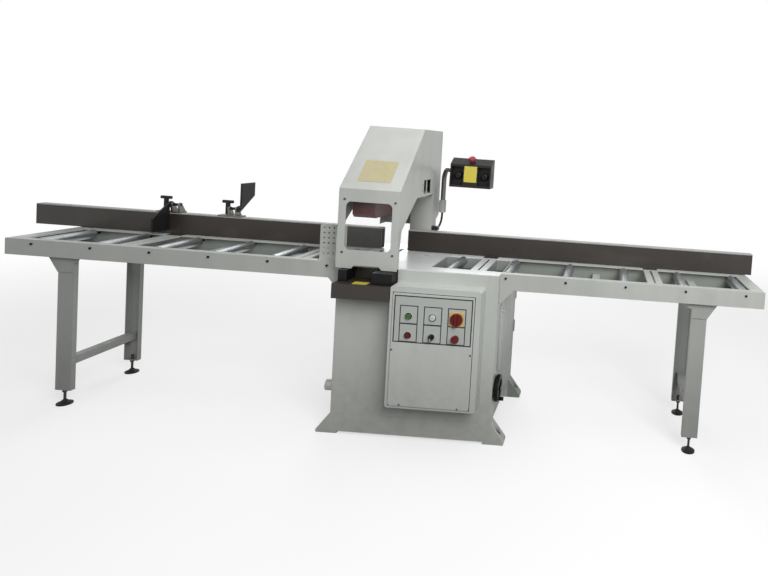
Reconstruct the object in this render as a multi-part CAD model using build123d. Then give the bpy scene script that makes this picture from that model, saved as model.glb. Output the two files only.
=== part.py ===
from build123d import *
from math import asin, atan2, cos, degrees, pi, radians, sin, sqrt, tan
import os

# Pneumatic cut-off saw: cabinet with a rising blade, roller tables left and right.
# Frame: +X along the tables to the right, +Y to the rear, +Z up, floor at z = 0,
# origin between the four anchor holes of the cabinet's foot beams. Millimetres.

# Working height and running gaps
table_top = 850.0
running_gap = 0.06
part_gap = 0.4

# Cabinet and its foot beams
cabinet_width = 800.0
cabinet_depth = 600.0
cabinet_wall = 4.0
foot_height = 105.0
foot_flare = 70.0
foot_toe = 14.0
foot_depth = 70.0
foot_wall = 5.0
foot_arch = 12.0
anchor_inset = 35.0
anchor_radius = 7.0
anchor_access_radius = 15.0

# Top plate over the cabinet
top_plate_thickness = 6.0
plate_opening_reach = 89.0
fold_wall = 3.0
fold_depth = 60.0
throat_width = 80.0
throat_front = -200.0
throat_depth = 324.0
throat_thickness = 3.0
bar_pair_offset = 150.0
bar_width = 34.0
bar_slot = 10.0
bar_thickness = 8.0

# Roller tables
left_table_length = 1710.0
right_table_length = 1320.0
rail_height = 82.0
rail_wall = 4.0
rail_front = -254.0
front_rail_depth = 40.0
rear_rail_inner = 85.0
rear_rail_depth = 120.0
channel_depth = 40.0
roller_radius = 24.0
roller_proud = 2.0
roller_pitch = 300.0
left_roller_start = 75.0
right_roller_start = 25.0
roller_end_gap = 3.0
axle_radius = 5.0
axle_head_across = 11.0
axle_head_height = 5.0
axle_bracket_width = 40.0
axle_bracket_thickness = 8.0
tie_width = 40.0
tie_height = 34.0
end_deck = 66.0
inner_plate_height = 32.0
gusset_reach = 66.0
gusset_drop = 78.0
gusset_thickness = 8.0

# Leg frames and levelling feet
leg_width = 80.0
leg_depth = 26.0
leg_wall = 4.0
left_leg_inset = 290.0
right_leg_inset = 315.0
front_leg_y = -215.0
rear_leg_y = 188.0
leg_bottom = 75.0
shoe_flare = 50.0
shoe_radius = 30.0
shoe_height = 78.0
shoe_thickness = 4.0
brace_height = 40.0
brace_bottom = 200.0
brace_width = 40.0
pad_radius = 34.0
pad_height = 6.0
pad_cone_height = 16.0
pad_hub_radius = 10.0
stem_radius = 6.0
stem_engagement = 30.0
lock_nut_across = 19.0
lock_nut_height = 12.0

# Fences
fence_front = 135.0
fence_depth = 50.0
fence_height = 117.0
fence_wall = 4.0
fence_lift = 3.0
track_thickness = 5.0
fence_foot_width = 78.0
fence_foot_reach = 45.0
left_fence_entry = 36.0
left_fence_length = 1996.0
right_fence_entry = 111.0
right_fence_length = 1964.0

# Hood over the blade
hood_width = 300.0
hood_overhang = 20.0
hood_wall = 4.0
hood_front_height = 380.0
hood_height = 695.0
hood_skirt = 12.0
hood_post = 26.0
arch_spring = 103.0
arch_shoulder_y = -280.0
arch_shoulder = 184.0
arch_crown_y = -79.0
arch_crown = 328.0
column_front = 190.0
column_width = 124.0
column_depth = 85.0
shoulder_rise = 196.0
shoulder_drop = 24.0
rear_skirt = 135.0
window_width = 227.0
window_height = 236.0
window_centre = 198.0
window_corner = 25.0
pane_border = 17.0
pane_thickness = 4.0
notch_width = 121.0
notch_height = 16.0
notch_taper = 14.0
bridge_thickness = 10.0
bridge_gap = 4.0
bridge_front = -190.0
bridge_depth = 170.0
slot_low = 342.0
slot_height = 76.0
narrow_slot_y = 22.0
narrow_slot_width = 42.0
wide_slot_y = 74.0
wide_slot_width = 64.0
slit_y = 0.0
slit_width = 9.0
slit_low = 354.0
slit_height = 44.0

# Perforated wing guard on the left table
wing_thickness = 3.0
wing_plane = -214.0
wing_width = 135.0
wing_height = 182.0
wing_corner = 12.0
wing_hole_radius = 4.5
wing_hole_pitch = 24.5
wing_hole_columns = 5
wing_hole_rows = 6
wing_hole_margin = 20.0
wing_row_pitch = 26.0
wing_foot = 24.0

# Hold-down clamp in the hood
clamp_inset = 15.0
clamp_width = 115.0
clamp_front = -200.0
clamp_depth = 240.0
clamp_rest = 222.0
clamp_height = 88.0
clamp_nose = 18.0
clamp_stroke = 190.0
clamp_rod_radius = 11.0
guide_rod_radius = 8.0
guide_rod_inset = 22.0
guide_rod_y = -145.0
clamp_barrel_radius = 40.0
clamp_barrel_y = -78.0
clamp_barrel_height = 228.0
barrel_wall = 7.0
piston_height = 22.0

# Blade, arbor and swing arm
blade_radius = 200.0
blade_thickness = 4.0
blade_teeth = 40
tooth_height = 9.0
blade_slot_width = 20.0
blade_slot_margin = 12.0
blade_rest_drop = 212.0
blade_y = -10.0
blade_rise = 120.0
arm_length = 230.0
arbor_radius = 20.0
flange_radius = 70.0
flange_thickness = 12.0
arbor_nut_across = 55.0
arbor_nut_height = 20.0
housing_length = 136.0
housing_radius = 52.0
bearing_radius = 40.0
bearing_width = 18.0
hub_radius = 38.0
hub_setback = 14.0
arbor_shoulder = 8.0
pulley_gap = 10.0
pivot_radius = 17.5
arm_rib = 14.0
arm_rib_gap = 56.0
pedestal_thickness = 16.0
pedestal_half = 58.0
lug_reach = 125.0
lug_pin_radius = 8.0
lug_radius = 26.0

# Drive
pulley_width = 40.0
pulley_groove = 7.0
groove_count = 3
arbor_pulley_radius = 55.0
motor_pulley_radius = 75.0
belt_thickness = 6.0
belt_gap = 0.5
motor_drop = 258.0
motor_forward = 82.0
motor_plate = 16.0
motor_flange_radius = 125.0
motor_flange = 14.0
motor_radius = 98.0
motor_length = 236.0
motor_fins = 20
fin_height = 9.0
fin_thickness = 5.0
cowl_length = 62.0
motor_shaft_radius = 14.0
terminal_box = 90.0

# Lift cylinder
lift_offset = 92.0
lift_barrel_radius = 42.0
lift_barrel_height = 190.0
lift_end_cap = 15.0
lift_beam_top = 330.0
lift_beam_width = 84.0
lift_beam_height = 40.0
lift_rod_radius = 12.5
lift_eye_radius = 20.0
lift_eye_thickness = 30.0
eye_slot_play = 8.0
eye_slot_gap = 0.35

# Electric box with its cover and controls
box_gap = 3.0
box_width = 436.0
box_drop = 60.0
box_height = 590.0
box_depth = 98.0
box_wall = 3.0
box_lip = 34.0
box_corner = 14.0
cover_margin_left = 16.0
cover_margin_right = 30.0
cover_margin_low = 13.0
cover_margin_high = 30.0
cover_thickness = 4.0
cover_corner = 14.0
control_inset = 96.0
control_pitch_x = 114.5
control_drop = 138.0
control_pitch_z = 92.0
collar_height = 3.0
collar_border = 4.0
button_radius = 13.0
button_proud = 9.0
button_travel = 5.0
button_depth = 30.0
mushroom_radius = 18.5
mushroom_height = 9.0
switch_plate_side = 68.0
switch_plate_thickness = 4.0
switch_radius = 30.0
knob_radius = 14.0
knob_height = 9.0
grip_height = 14.0
grip_thickness = 10.0
spindle_radius = 5.0
lamp_radius = 14.0
lamp_height = 9.0

# Tray and black valve boxes under the hood
tray_inset = 23.0
tray_width = 278.0
tray_reach = 101.0
tray_drop = 69.0
tray_apron = 71.0
tray_wall = 3.0
niche_depth = 57.0
valve_box_height = 55.0
left_valve_width = 45.0
left_valve_setback = 49.0
right_valve_width = 98.0
right_valve_setback = 27.0
valve_back_gap = 4.0
valve_box_corner = 6.0

# Dust port on the left side
dust_setback = 60.0
dust_z = 217.0
dust_radius = 28.0
dust_wall = 2.5
dust_reach = 52.0
dust_flange = 84.0
dust_flange_thickness = 4.0

# Handwheel and side door on the right
wheel_setback = 65.0
wheel_z = 262.0
wheel_radius = 66.0
wheel_rim = 11.0
wheel_web = 7.0
wheel_standoff = 6.0
wheel_hub_radius = 13.0
wheel_shaft_radius = 8.0
wheel_shaft_length = 60.0
wheel_hub_length = 27.0
crank_radius = 9.5
crank_length = 20.0
door_front = -205.0
door_rear = 235.0
door_drop = 130.0
door_height = 385.0
door_thickness = 3.0
door_fold = 8.0
door_overlap = 16.0
hinge_radius = 7.0
hinge_pin_radius = 3.5
hinge_length = 34.0
hinge_inset = 60.0
latch_radius = 11.0
latch_inset = 27.0
latch_drop = 78.0

# Pendant two-hand station
socket_reach = 28.0
socket_inset = 20.0
socket_rise = 214.0
socket_height = 74.0
socket_radius = 20.0
arm_tube_radius = 14.0
arm_rise = 475.0
arm_bend = 70.0
pendant_offset = 155.0
pendant_width = 220.0
pendant_front = -45.0
pendant_back = 45.0
pendant_rise = 400.0
pendant_height = 155.0
pendant_brow = 123.0
pendant_brow_back = 8.0
pendant_roof = 26.0
pendant_cheek = 7.0
pendant_lip = 12.0
pendant_bridge = 78.0
recess_depth = 42.0
palm_radius = 20.0
palm_height = 18.0
palm_stem_radius = 9.0
palm_travel = 6.0
estop_radius = 19.0
estop_head = 15.0
estop_stem_radius = 11.0
estop_stem = 12.0
cable_radius = 6.0
gland_inset = 35.0
gland_rise = 130.0
gland_side = 26.0
gland_depth = 30.0
cable_route = [
    (-72, 300, 1063.6), (-72, 300, 1036), (-73, 290.5, 1010.3),
    (-75, 273, 990.7), (-76, 250, 980), (-76, 225.4, 980),
]

# Flip stops on the left fence
stop_ear_sides = (1, -1)
stop_base_offsets = (693.0, 1048.0)
flag_offsets = (77.0, 117.0)
stop_knob_offsets = (38.0, 42.0)
stop_base_lengths = (140.0, 132.0)
stop_base_thickness = 8.0
stop_ear_gap = 12.0
stop_ear_thickness = 10.0
stop_ear_pitch = 42.0
stop_ear_radius = 12.0
stop_pin_height = 40.0
stop_pin_radius = 5.0
stop_sleeve_radius = 8.0
stop_pin_y = 145.0
flag_thickness = 10.0
flag_reach = 117.0
flag_back_gap = 3.0
flag_front_height = 78.0
flag_floor_gap = 22.0
flag_head_radius = 18.0
flag_shoulder_y = 10.5
flag_shoulder_z = 14.6
stud_radius = 5.0
stop_knob_y = 160.0
stop_knob_height = 76.0
stop_knob_bar = 29.0
stop_knob_bar_radius = 9.0
stop_knob_neck = 12.0
stop_knob_collar = 4.0

# Values that follow from the sizes above
cabinet_half = cabinet_width / 2
cabinet_front = -cabinet_depth / 2
cabinet_rear = cabinet_depth / 2
dust_y = cabinet_front + dust_setback
wheel_y = cabinet_front + wheel_setback
plate_bottom = table_top - top_plate_thickness
rail_bottom = table_top - rail_height
left_table_end = -cabinet_half - left_table_length
right_table_end = cabinet_half + right_table_length
left_leg_x = left_table_end + left_leg_inset
right_leg_x = right_table_end - right_leg_inset
roller_first = cabinet_half + right_roller_start - roller_pitch
roller_reach = end_deck + roller_radius
left_roller_count = 1 + int((left_table_length - left_roller_start - roller_reach) // roller_pitch)
right_roller_count = 2 + int((right_table_length - right_roller_start - roller_reach) // roller_pitch)
front_rail_back = rail_front + front_rail_depth
rear_rail_back = rear_rail_inner + rear_rail_depth
channel_back = rear_rail_inner + channel_depth
axle_z = table_top + roller_proud - roller_radius
fence_bottom = table_top + fence_lift
fence_top = fence_bottom + fence_height
fence_back = fence_front + fence_depth
hood_left = -cabinet_half
hood_right = hood_left + hood_width
hood_mid = hood_left + hood_width / 2
hood_front = cabinet_front - hood_overhang
hood_rear = cabinet_rear + hood_overhang
left_fence_end = hood_left + left_fence_entry
left_fence_start = left_fence_end - left_fence_length
right_fence_start = hood_right - right_fence_entry
right_fence_end = right_fence_start + right_fence_length
column_left = hood_right - column_width
column_rear = column_front + column_depth
hood_slope_foot = table_top + hood_front_height
hood_top = table_top + hood_height
hood_slope_back = hood_front + hood_top - hood_slope_foot
bridge_bottom = table_top + arch_crown + bridge_gap
bridge_top = bridge_bottom + bridge_thickness
clamp_bottom = table_top + clamp_rest
clamp_left = hood_left + clamp_inset
clamp_mid = clamp_left + clamp_width / 2
blade_x = hood_mid
lift_x = blade_x + lift_offset
blade_z = table_top - blade_rest_drop
pivot_z = blade_z + blade_rise / 2
half_swing = asin(blade_rise / 2 / arm_length)
pivot_y = blade_y + arm_length * cos(half_swing)
lift_travel = 2 * lug_reach * sin(half_swing)
lug_y = pivot_y - lug_reach * cos(half_swing)
lug_z = pivot_z - lug_reach * sin(half_swing)
inner_flange_end = blade_x + blade_thickness / 2 + flange_thickness
housing_left = inner_flange_end + arbor_shoulder
housing_right = housing_left + housing_length
arbor_pulley_left = housing_right + pulley_gap
pulley_right = arbor_pulley_left + pulley_width
motor_plate_left = pulley_right + pulley_gap
motor_face = motor_plate_left + motor_plate
motor_y = pivot_y - motor_forward
motor_z = pivot_z - motor_drop
hub_left = housing_left + hub_setback
hub_right = motor_face
tray_left = hood_left + tray_inset
tray_right = tray_left + tray_width
tray_top = table_top - tray_drop
tray_front = cabinet_front - tray_reach
tray_back = cabinet_front + niche_depth
box_left = tray_right + box_gap
box_right = box_left + box_width
box_top = table_top - box_drop
box_bottom = box_top - box_height
box_front = cabinet_front - box_depth
cover_front = box_front - cover_thickness
door_top = table_top - door_drop
door_bottom = door_top - door_height
latch_y = door_front + latch_inset
latch_z = door_top - latch_drop
socket_x = hood_right + socket_reach
socket_y = hood_rear - socket_inset
socket_bottom = table_top + socket_rise
arm_top = table_top + arm_rise
pendant_left = hood_right + pendant_offset
pendant_bottom = table_top + pendant_rise
gland_y = column_front + gland_inset
gland_z = table_top + gland_rise
stop_pin_z = fence_top + stop_base_thickness + stop_pin_height
stop_base_top = fence_top + part_gap + stop_base_thickness


def block(x0, x1, y0, y1, z0, z1):
    """A box between two corners."""
    return Pos((x0 + x1) / 2, (y0 + y1) / 2, (z0 + z1) / 2) * Box(x1 - x0, y1 - y0, z1 - z0)


def face_of(points):
    """A flat face bounded by straight edges through the points."""
    return make_face(Polyline(*points, close=True))


def along_x(sketch, x0, x1):
    """Extrude a sketch, drawn as (y, z), from x0 to x1."""
    return extrude(Plane((x0, 0, 0), x_dir=(0, 1, 0), z_dir=(1, 0, 0)) * sketch, x1 - x0)


def along_y(sketch, y0, y1):
    """Extrude a sketch, drawn as (x, z), from y0 to y1."""
    return extrude(Plane((0, y1, 0), x_dir=(1, 0, 0), z_dir=(0, -1, 0)) * sketch, y1 - y0)


def along_z(sketch, z0, z1):
    """Extrude a sketch, drawn as (x, y), from z0 to z1."""
    return extrude(Pos(0, 0, z0) * sketch, z1 - z0)


def rod_x(radius, x0, x1, y, z):
    """A round bar along X."""
    return along_x(Pos(y, z) * Circle(radius), x0, x1)


def rod_y(radius, y0, y1, x, z):
    """A round bar along Y."""
    return along_y(Pos(x, z) * Circle(radius), y0, y1)


def rod_z(radius, z0, z1, x, y):
    """A round bar along Z."""
    return along_z(Pos(x, y) * Circle(radius), z0, z1)


def link_face(y0, z0, r0, y1, z1, r1):
    """The outline of a casting arm: two round ends joined by their common tangents."""
    ends = Pos(y0, z0) * Circle(r0) + Pos(y1, z1) * Circle(r1)
    return make_hull(ends.edges())


def save(name, *pieces):
    """Write the pieces of one node as separate solids in one file."""
    solids = [solid for piece in pieces for solid in piece.solids()]
    node = Compound(children=solids)
    node.label = name
    export_step(node, f"parts/{name}.step")


os.makedirs("parts", exist_ok=True)

# Foot beams: folded trapezoid channels, open below, with flared toes for the anchor bolts
def foot_beam(y0):
    """One transverse beam whose rear or front face starts at y0."""
    toe = cabinet_half + foot_flare
    pad = cabinet_half - foot_flare / 2
    outer = face_of([
        (-toe, 0), (-toe, foot_toe), (-cabinet_half, foot_height), (cabinet_half, foot_height),
        (toe, foot_toe), (toe, 0), (pad, 0), (pad, foot_arch), (-pad, foot_arch), (-pad, 0),
    ])
    inner_half = cabinet_half - foot_wall
    inner = face_of([
        (-toe + 3 * foot_wall, foot_toe), (-inner_half, foot_height - foot_wall),
        (inner_half, foot_height - foot_wall), (toe - 3 * foot_wall, foot_toe),
    ])
    beam = along_y(outer, y0, y0 + foot_depth)
    beam -= along_y(inner, y0 + foot_wall, y0 + foot_depth - foot_wall)
    beam -= block(-pad, pad, y0 + foot_wall, y0 + foot_depth - foot_wall, 0, foot_toe)
    for side in (-1, 1):
        x = side * (toe - anchor_inset)
        y = y0 + foot_depth / 2
        beam -= rod_z(anchor_radius, 0, foot_toe, x, y)
        beam -= rod_z(anchor_access_radius, foot_toe, foot_height, x, y)
    return beam


save("foot_beams", foot_beam(cabinet_front), foot_beam(cabinet_rear - foot_depth))

# Cabinet shell: welded sheet box, open on top, with the inner beam and the pivot pedestals
shell = block(-cabinet_half, cabinet_half, cabinet_front, cabinet_rear, foot_height, plate_bottom)
shell -= block(
    -cabinet_half + cabinet_wall, cabinet_half - cabinet_wall,
    cabinet_front + cabinet_wall, cabinet_rear - cabinet_wall,
    foot_height + cabinet_wall, plate_bottom,
)
shell += block(
    lift_x - lift_beam_width / 2, lift_x + lift_beam_width / 2,
    cabinet_front + cabinet_wall / 2, cabinet_rear - cabinet_wall / 2,
    lift_beam_top - lift_beam_height, lift_beam_top,
)
pedestal_xs = (hub_left - part_gap - pedestal_thickness, hub_right + part_gap)
for x in pedestal_xs:
    shell += block(
        x, x + pedestal_thickness, pivot_y - pedestal_half, cabinet_rear - cabinet_wall / 2,
        pivot_z - pedestal_half, pivot_z + pedestal_half,
    )
    shell -= rod_x(pivot_radius + running_gap, x, x + pedestal_thickness, pivot_y, pivot_z)
shell -= block(
    tray_left, tray_right, cabinet_front, cabinet_front + cabinet_wall,
    tray_top - tray_wall, plate_bottom,
)
shell -= block(
    cabinet_half - cabinet_wall, cabinet_half, door_front + door_overlap, door_rear - door_overlap,
    door_bottom + door_overlap, door_top - door_overlap,
)
shell -= rod_x(dust_radius, -cabinet_half, -cabinet_half + cabinet_wall, dust_y, dust_z)
shell -= rod_x(wheel_shaft_radius + running_gap, cabinet_half - cabinet_wall, cabinet_half, wheel_y, wheel_z)

# Upper knuckles of the side door's two hinges, each with its pin, on a strap welded to the side
hinge_x = cabinet_half + hinge_radius + part_gap
hinge_y = door_rear + hinge_radius + part_gap
hinge_zs = (door_bottom + hinge_inset, door_top - hinge_inset - 2 * hinge_length)
for z in hinge_zs:
    knuckle_low = z + hinge_length + part_gap
    knuckle_high = z + 2 * hinge_length
    shell += rod_z(hinge_radius, knuckle_low, knuckle_high, hinge_x, hinge_y)
    strap_x = cabinet_half - cabinet_wall / 2
    shell += block(strap_x, hinge_x, hinge_y, hinge_y + hinge_radius, knuckle_low, knuckle_high)
    shell += rod_z(hinge_pin_radius, z, knuckle_high, hinge_x, hinge_y)
save("cabinet_shell", shell)

# Side door: overlay panel with folded edges, lower hinge knuckles and a round latch
door_x0 = cabinet_half + part_gap
door_x1 = cabinet_half + door_fold
door = block(door_x0, door_x1, door_front, door_rear, door_bottom, door_top)
door -= block(
    door_x0, door_x1 - door_thickness, door_front + door_thickness, door_rear - door_thickness,
    door_bottom + door_thickness, door_top - door_thickness,
)
for z in hinge_zs:
    knuckle_high = z + hinge_length - part_gap
    door_edge = door_rear - door_thickness
    door -= block(door_x0, door_x1, door_edge, door_rear, z + hinge_length, z + 2 * hinge_length + part_gap)
    knuckle = rod_z(hinge_radius, z, knuckle_high, hinge_x, hinge_y)
    knuckle += block(
        hinge_x - hinge_radius / 2, hinge_x + hinge_radius / 2, door_edge, hinge_y, z, knuckle_high,
    )
    knuckle -= rod_z(hinge_pin_radius + running_gap, z, z + hinge_length, hinge_x, hinge_y)
    door += knuckle
door -= rod_x(latch_radius / 2 + running_gap, door_x1 - door_thickness, door_x1, latch_y, latch_z)
latch = rod_x(latch_radius / 2, door_x1 - door_thickness, door_x1 + door_thickness, latch_y, latch_z)
latch += rod_x(latch_radius, door_x1 + part_gap, door_x1 + door_thickness, latch_y, latch_z)
latch += block(
    door_x1 + door_thickness, door_x1 + 3 * door_thickness,
    latch_y - door_thickness, latch_y + door_thickness,
    latch_z - latch_radius, latch_z + latch_radius,
)
save("side_door", door)
save("door_latch", latch)

# Top plate: table with the blade slot, a roller opening and a notch for the next roller, both folded down
plate = block(-cabinet_half, cabinet_half, cabinet_front, cabinet_rear, plate_bottom, table_top)
bar_x = roller_first + bar_pair_offset
bar_half = bar_width + bar_slot / 2
slot_half = sqrt(blade_radius ** 2 - (blade_rest_drop - blade_rise) ** 2) + blade_slot_margin
plate -= block(
    blade_x - blade_slot_width / 2, blade_x + blade_slot_width / 2,
    blade_y - slot_half, blade_y + slot_half, plate_bottom, table_top,
)
plate_gaps = (
    (roller_first - plate_opening_reach, bar_x - bar_half), (bar_x - bar_slot / 2, bar_x + bar_slot / 2),
    (bar_x + bar_half, cabinet_half),
)
for x0, x1 in plate_gaps:
    plate -= block(x0, x1, front_rail_back, rear_rail_inner, plate_bottom, table_top)
for x0, x1 in (plate_gaps[0], plate_gaps[2]):
    fold = block(
        x0 - fold_wall, min(x1 + fold_wall, cabinet_half - cabinet_wall - part_gap),
        front_rail_back - fold_wall, rear_rail_inner + fold_wall,
        plate_bottom - fold_depth, plate_bottom + top_plate_thickness / 2,
    )
    plate += fold - block(
        x0, x1, front_rail_back, rear_rail_inner,
        plate_bottom - fold_depth, plate_bottom + top_plate_thickness / 2,
    )
for y in (front_rail_back - axle_bracket_thickness, rear_rail_inner):
    plate += block(
        roller_first - axle_bracket_width / 2, roller_first + axle_bracket_width / 2,
        y, y + axle_bracket_thickness,
        axle_z - axle_bracket_width / 2, plate_bottom + top_plate_thickness / 2,
    )
plate -= rod_y(
    axle_radius + running_gap, front_rail_back - axle_bracket_thickness,
    rear_rail_inner + axle_bracket_thickness, roller_first, axle_z,
)
throat = block(
    blade_x - blade_slot_width / 2 - throat_width, blade_x - blade_slot_width / 2,
    throat_front, throat_front + throat_depth, table_top, table_top + throat_thickness,
)
save("top_plate", plate, throat)


# Table frames: front channel, rear channel under a wide flange, end plates, slotted bars and low ties
def table_frame(x0, x1, inner_x, roller_xs, bar_xs, tie_xs):
    """A welded table from x0 to x1, with its gusset against the cabinet side at inner_x."""
    front = block(x0, x1, rail_front, front_rail_back, rail_bottom, table_top)
    front -= block(
        x0, x1, rail_front + rail_wall, front_rail_back, rail_bottom + rail_wall, table_top - rail_wall,
    )
    rear = block(x0, x1, rear_rail_inner, channel_back, rail_bottom, table_top)
    rear -= block(
        x0, x1, rear_rail_inner, channel_back - rail_wall,
        rail_bottom + rail_wall, table_top - rail_wall,
    )
    rear += block(x0, x1, rear_rail_inner, rear_rail_back, table_top - rail_wall, table_top)
    rear += block(x0, x1, rear_rail_back - rail_wall, rear_rail_back, rail_bottom, table_top)
    frame = front + rear
    away = 1 if x1 > inner_x else -1
    outer_x = x1 if away > 0 else x0
    outer_plate = sorted((outer_x, outer_x - away * rail_wall))
    deck = sorted((outer_x, outer_x - away * end_deck))
    inner_plate = sorted((inner_x, inner_x + away * rail_wall))
    frame += block(*outer_plate, rail_front, rear_rail_back, rail_bottom, table_top)
    frame += block(*deck, rail_front, rear_rail_inner + rail_wall, table_top - bar_thickness, table_top)
    frame += block(*inner_plate, rail_front, rear_rail_back, rail_bottom, rail_bottom + inner_plate_height)
    for x in bar_xs:
        for side in (-1, 1):
            centre = x + side * (bar_width + bar_slot) / 2
            frame += block(
                centre - bar_width / 2, centre + bar_width / 2, front_rail_back - rail_wall,
                rear_rail_inner + rail_wall, table_top - bar_thickness, table_top,
            )
    for x in tie_xs:
        frame += block(
            x - tie_width / 2, x + tie_width / 2, rail_front + rail_wall / 2, rear_rail_back - rail_wall / 2,
            rail_bottom, rail_bottom + tie_height,
        )
    for x in roller_xs:
        frame -= rod_y(axle_radius + running_gap, rail_front, rail_front + rail_wall, x, axle_z)
        frame -= rod_y(axle_radius + running_gap, channel_back - rail_wall, channel_back, x, axle_z)
    gusset = face_of([
        (inner_x, rail_bottom + rail_wall / 2), (inner_x + away * gusset_reach, rail_bottom + rail_wall / 2),
        (inner_x + away * gusset_reach, rail_bottom), (inner_x, rail_bottom - gusset_drop),
    ])
    frame += along_y(gusset, rail_front, rail_front + gusset_thickness)
    return frame


left_roller_first = -cabinet_half - left_roller_start
left_roller_xs = [left_roller_first - roller_pitch * index for index in range(left_roller_count)]
right_roller_xs = [roller_first + roller_pitch * index for index in range(right_roller_count)]
left_bar_xs = (left_roller_xs[3] - bar_pair_offset, left_roller_xs[0] - bar_pair_offset)
right_bar_xs = (right_roller_xs[3] + bar_pair_offset,)
save("left_table_frame", table_frame(
    left_table_end, -cabinet_half, -cabinet_half, left_roller_xs, left_bar_xs,
    (left_leg_x, left_roller_xs[3] + bar_pair_offset, left_roller_xs[1] + bar_pair_offset),
))
save("right_table_frame", table_frame(
    cabinet_half, right_table_end, cabinet_half, right_roller_xs[1:], right_bar_xs,
    (right_leg_x, right_roller_xs[2] + bar_pair_offset),
))

# Rollers: steel tubes with closed ends, each free on its own bolt
roller_front = front_rail_back + roller_end_gap
roller_back = rear_rail_inner - roller_end_gap
for side, roller_xs in (("left", left_roller_xs), ("right", right_roller_xs)):
    for number, x in enumerate(roller_xs, 1):
        roller = rod_y(roller_radius, roller_front, roller_back, x, axle_z)
        roller -= rod_y(axle_radius + running_gap, roller_front, roller_back, x, axle_z)
        save(f"{side}_roller_{number}", roller)


# Roller axles: bolts through both rails with a hexagon head on the front face
def roller_axle(x, front, back):
    """One axle bolt with its head in front of the face at front."""
    head = Pos(x, axle_z) * RegularPolygon(axle_head_across / 2, 6, major_radius=False)
    return rod_y(axle_radius, front, back, x, axle_z) + along_y(head, front - axle_head_height, front)


axle_back = channel_back + rail_wall
axles = [roller_axle(x, rail_front, axle_back) for x in left_roller_xs + right_roller_xs[1:]]
axles.append(roller_axle(
    roller_first, front_rail_back - axle_bracket_thickness, rear_rail_inner + axle_bracket_thickness,
))
save("roller_axles", *axles)


# Leg frames: two channel legs open to each other, with flared shoes under the rails and a low brace
def leg_frame(x, away):
    """The pair of legs at x, with the shoe flaring wide on the side given by away."""
    frame = None
    half = leg_width / 2
    half_depth = leg_depth / 2
    for y, inward in ((front_leg_y, 1), (rear_leg_y, -1)):
        outer = y - inward * half_depth
        leg = block(x - half, x + half, y - half_depth, y + half_depth, leg_bottom, rail_bottom)
        hollow = sorted((outer + inward * leg_wall, y + inward * half_depth))
        leg -= block(
            x - half + leg_wall, x + half - leg_wall, hollow[0], hollow[1],
            leg_bottom + leg_wall, rail_bottom,
        )
        leg -= rod_z(stem_radius + running_gap, leg_bottom, leg_bottom + leg_wall, x, y)
        wide = x + away * half
        narrow = x - away * half
        low = rail_bottom - shoe_height
        bend = rail_bottom - shoe_radius
        outline = (
            Polyline((narrow - away * shoe_radius, rail_bottom), (wide + away * shoe_flare, rail_bottom),
                     (wide, low), (narrow, low), (narrow, bend))
            + RadiusArc((narrow, bend), (narrow - away * shoe_radius, rail_bottom), away * shoe_radius)
        )
        shoe = sorted((outer, outer - inward * shoe_thickness))
        leg += along_y(make_face(outline), shoe[0], shoe[1])
        frame = leg if frame is None else frame + leg
    frame += block(
        x - brace_width / 2, x + brace_width / 2,
        front_leg_y - half_depth + leg_wall / 2, rear_leg_y + half_depth - leg_wall / 2,
        brace_bottom, brace_bottom + brace_height,
    )
    return frame


save("leg_frames", leg_frame(left_leg_x, -1), leg_frame(right_leg_x, 1))


# Levelling feet: dished round pad with a hub and a threaded stem, and a lock nut under the leg
def levelling_foot(x, y):
    """The pad with its stem, and the lock nut, as two solids."""
    stem_top = leg_bottom + stem_engagement
    hub_top = pad_height + pad_cone_height
    flank = (pad_hub_radius + pad_radius) / 2, pad_height + pad_cone_height / 3
    profile = (
        Polyline((0, 0), (pad_radius, 0), (pad_radius, pad_height))
        + ThreePointArc((pad_radius, pad_height), flank, (pad_hub_radius, hub_top))
        + Polyline(
            (pad_hub_radius, hub_top), (stem_radius, hub_top), (stem_radius, stem_top), (0, stem_top), (0, 0),
        )
    )
    foot = revolve(Plane.XZ * make_face(profile), Axis.Z)
    nut_low = leg_bottom - lock_nut_height
    nut = along_z(RegularPolygon(lock_nut_across / 2, 6, major_radius=False), nut_low, leg_bottom)
    nut -= rod_z(stem_radius + running_gap, nut_low, leg_bottom, 0, 0)
    return [Pos(x, y, 0) * foot, Pos(x, y, 0) * nut]


feet = []
for x in (left_leg_x, right_leg_x):
    for y in (front_leg_y, rear_leg_y):
        feet += levelling_foot(x, y)
save("levelling_feet", *feet)


# Fences: rectangular tubes closed at the outer end, on flat feet, with a light track on top
def fence(x0, x1, open_left, foot_xs):
    """A fence tube from x0 to x1, open at the end inside the hood, and its feet."""
    track_bottom = fence_top - track_thickness
    beam = block(x0, x1, fence_front, fence_back, fence_bottom, track_bottom)
    hollow_left = x0 if open_left else x0 + fence_wall
    hollow_right = x1 - fence_wall if open_left else x1
    beam -= block(
        hollow_left, hollow_right, fence_front + fence_wall, fence_back - fence_wall,
        fence_bottom + fence_wall, track_bottom - fence_wall,
    )
    pieces = [beam]
    for x in foot_xs:
        pieces.append(block(
            x - fence_foot_width / 2, x + fence_foot_width / 2, fence_front - fence_foot_reach, fence_back,
            table_top, fence_bottom,
        ))
    return pieces


save(
    "fences",
    *fence(left_fence_start, left_fence_end, False, left_bar_xs),
    *fence(right_fence_start, right_fence_end, True, (bar_x,) + right_bar_xs),
)
track_bottom = fence_top - track_thickness
save(
    "fence_tracks",
    block(left_fence_start, left_fence_end, fence_front, fence_back, track_bottom, fence_top),
    block(right_fence_start, right_fence_end, fence_front, fence_back, track_bottom, fence_top),
)


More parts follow.
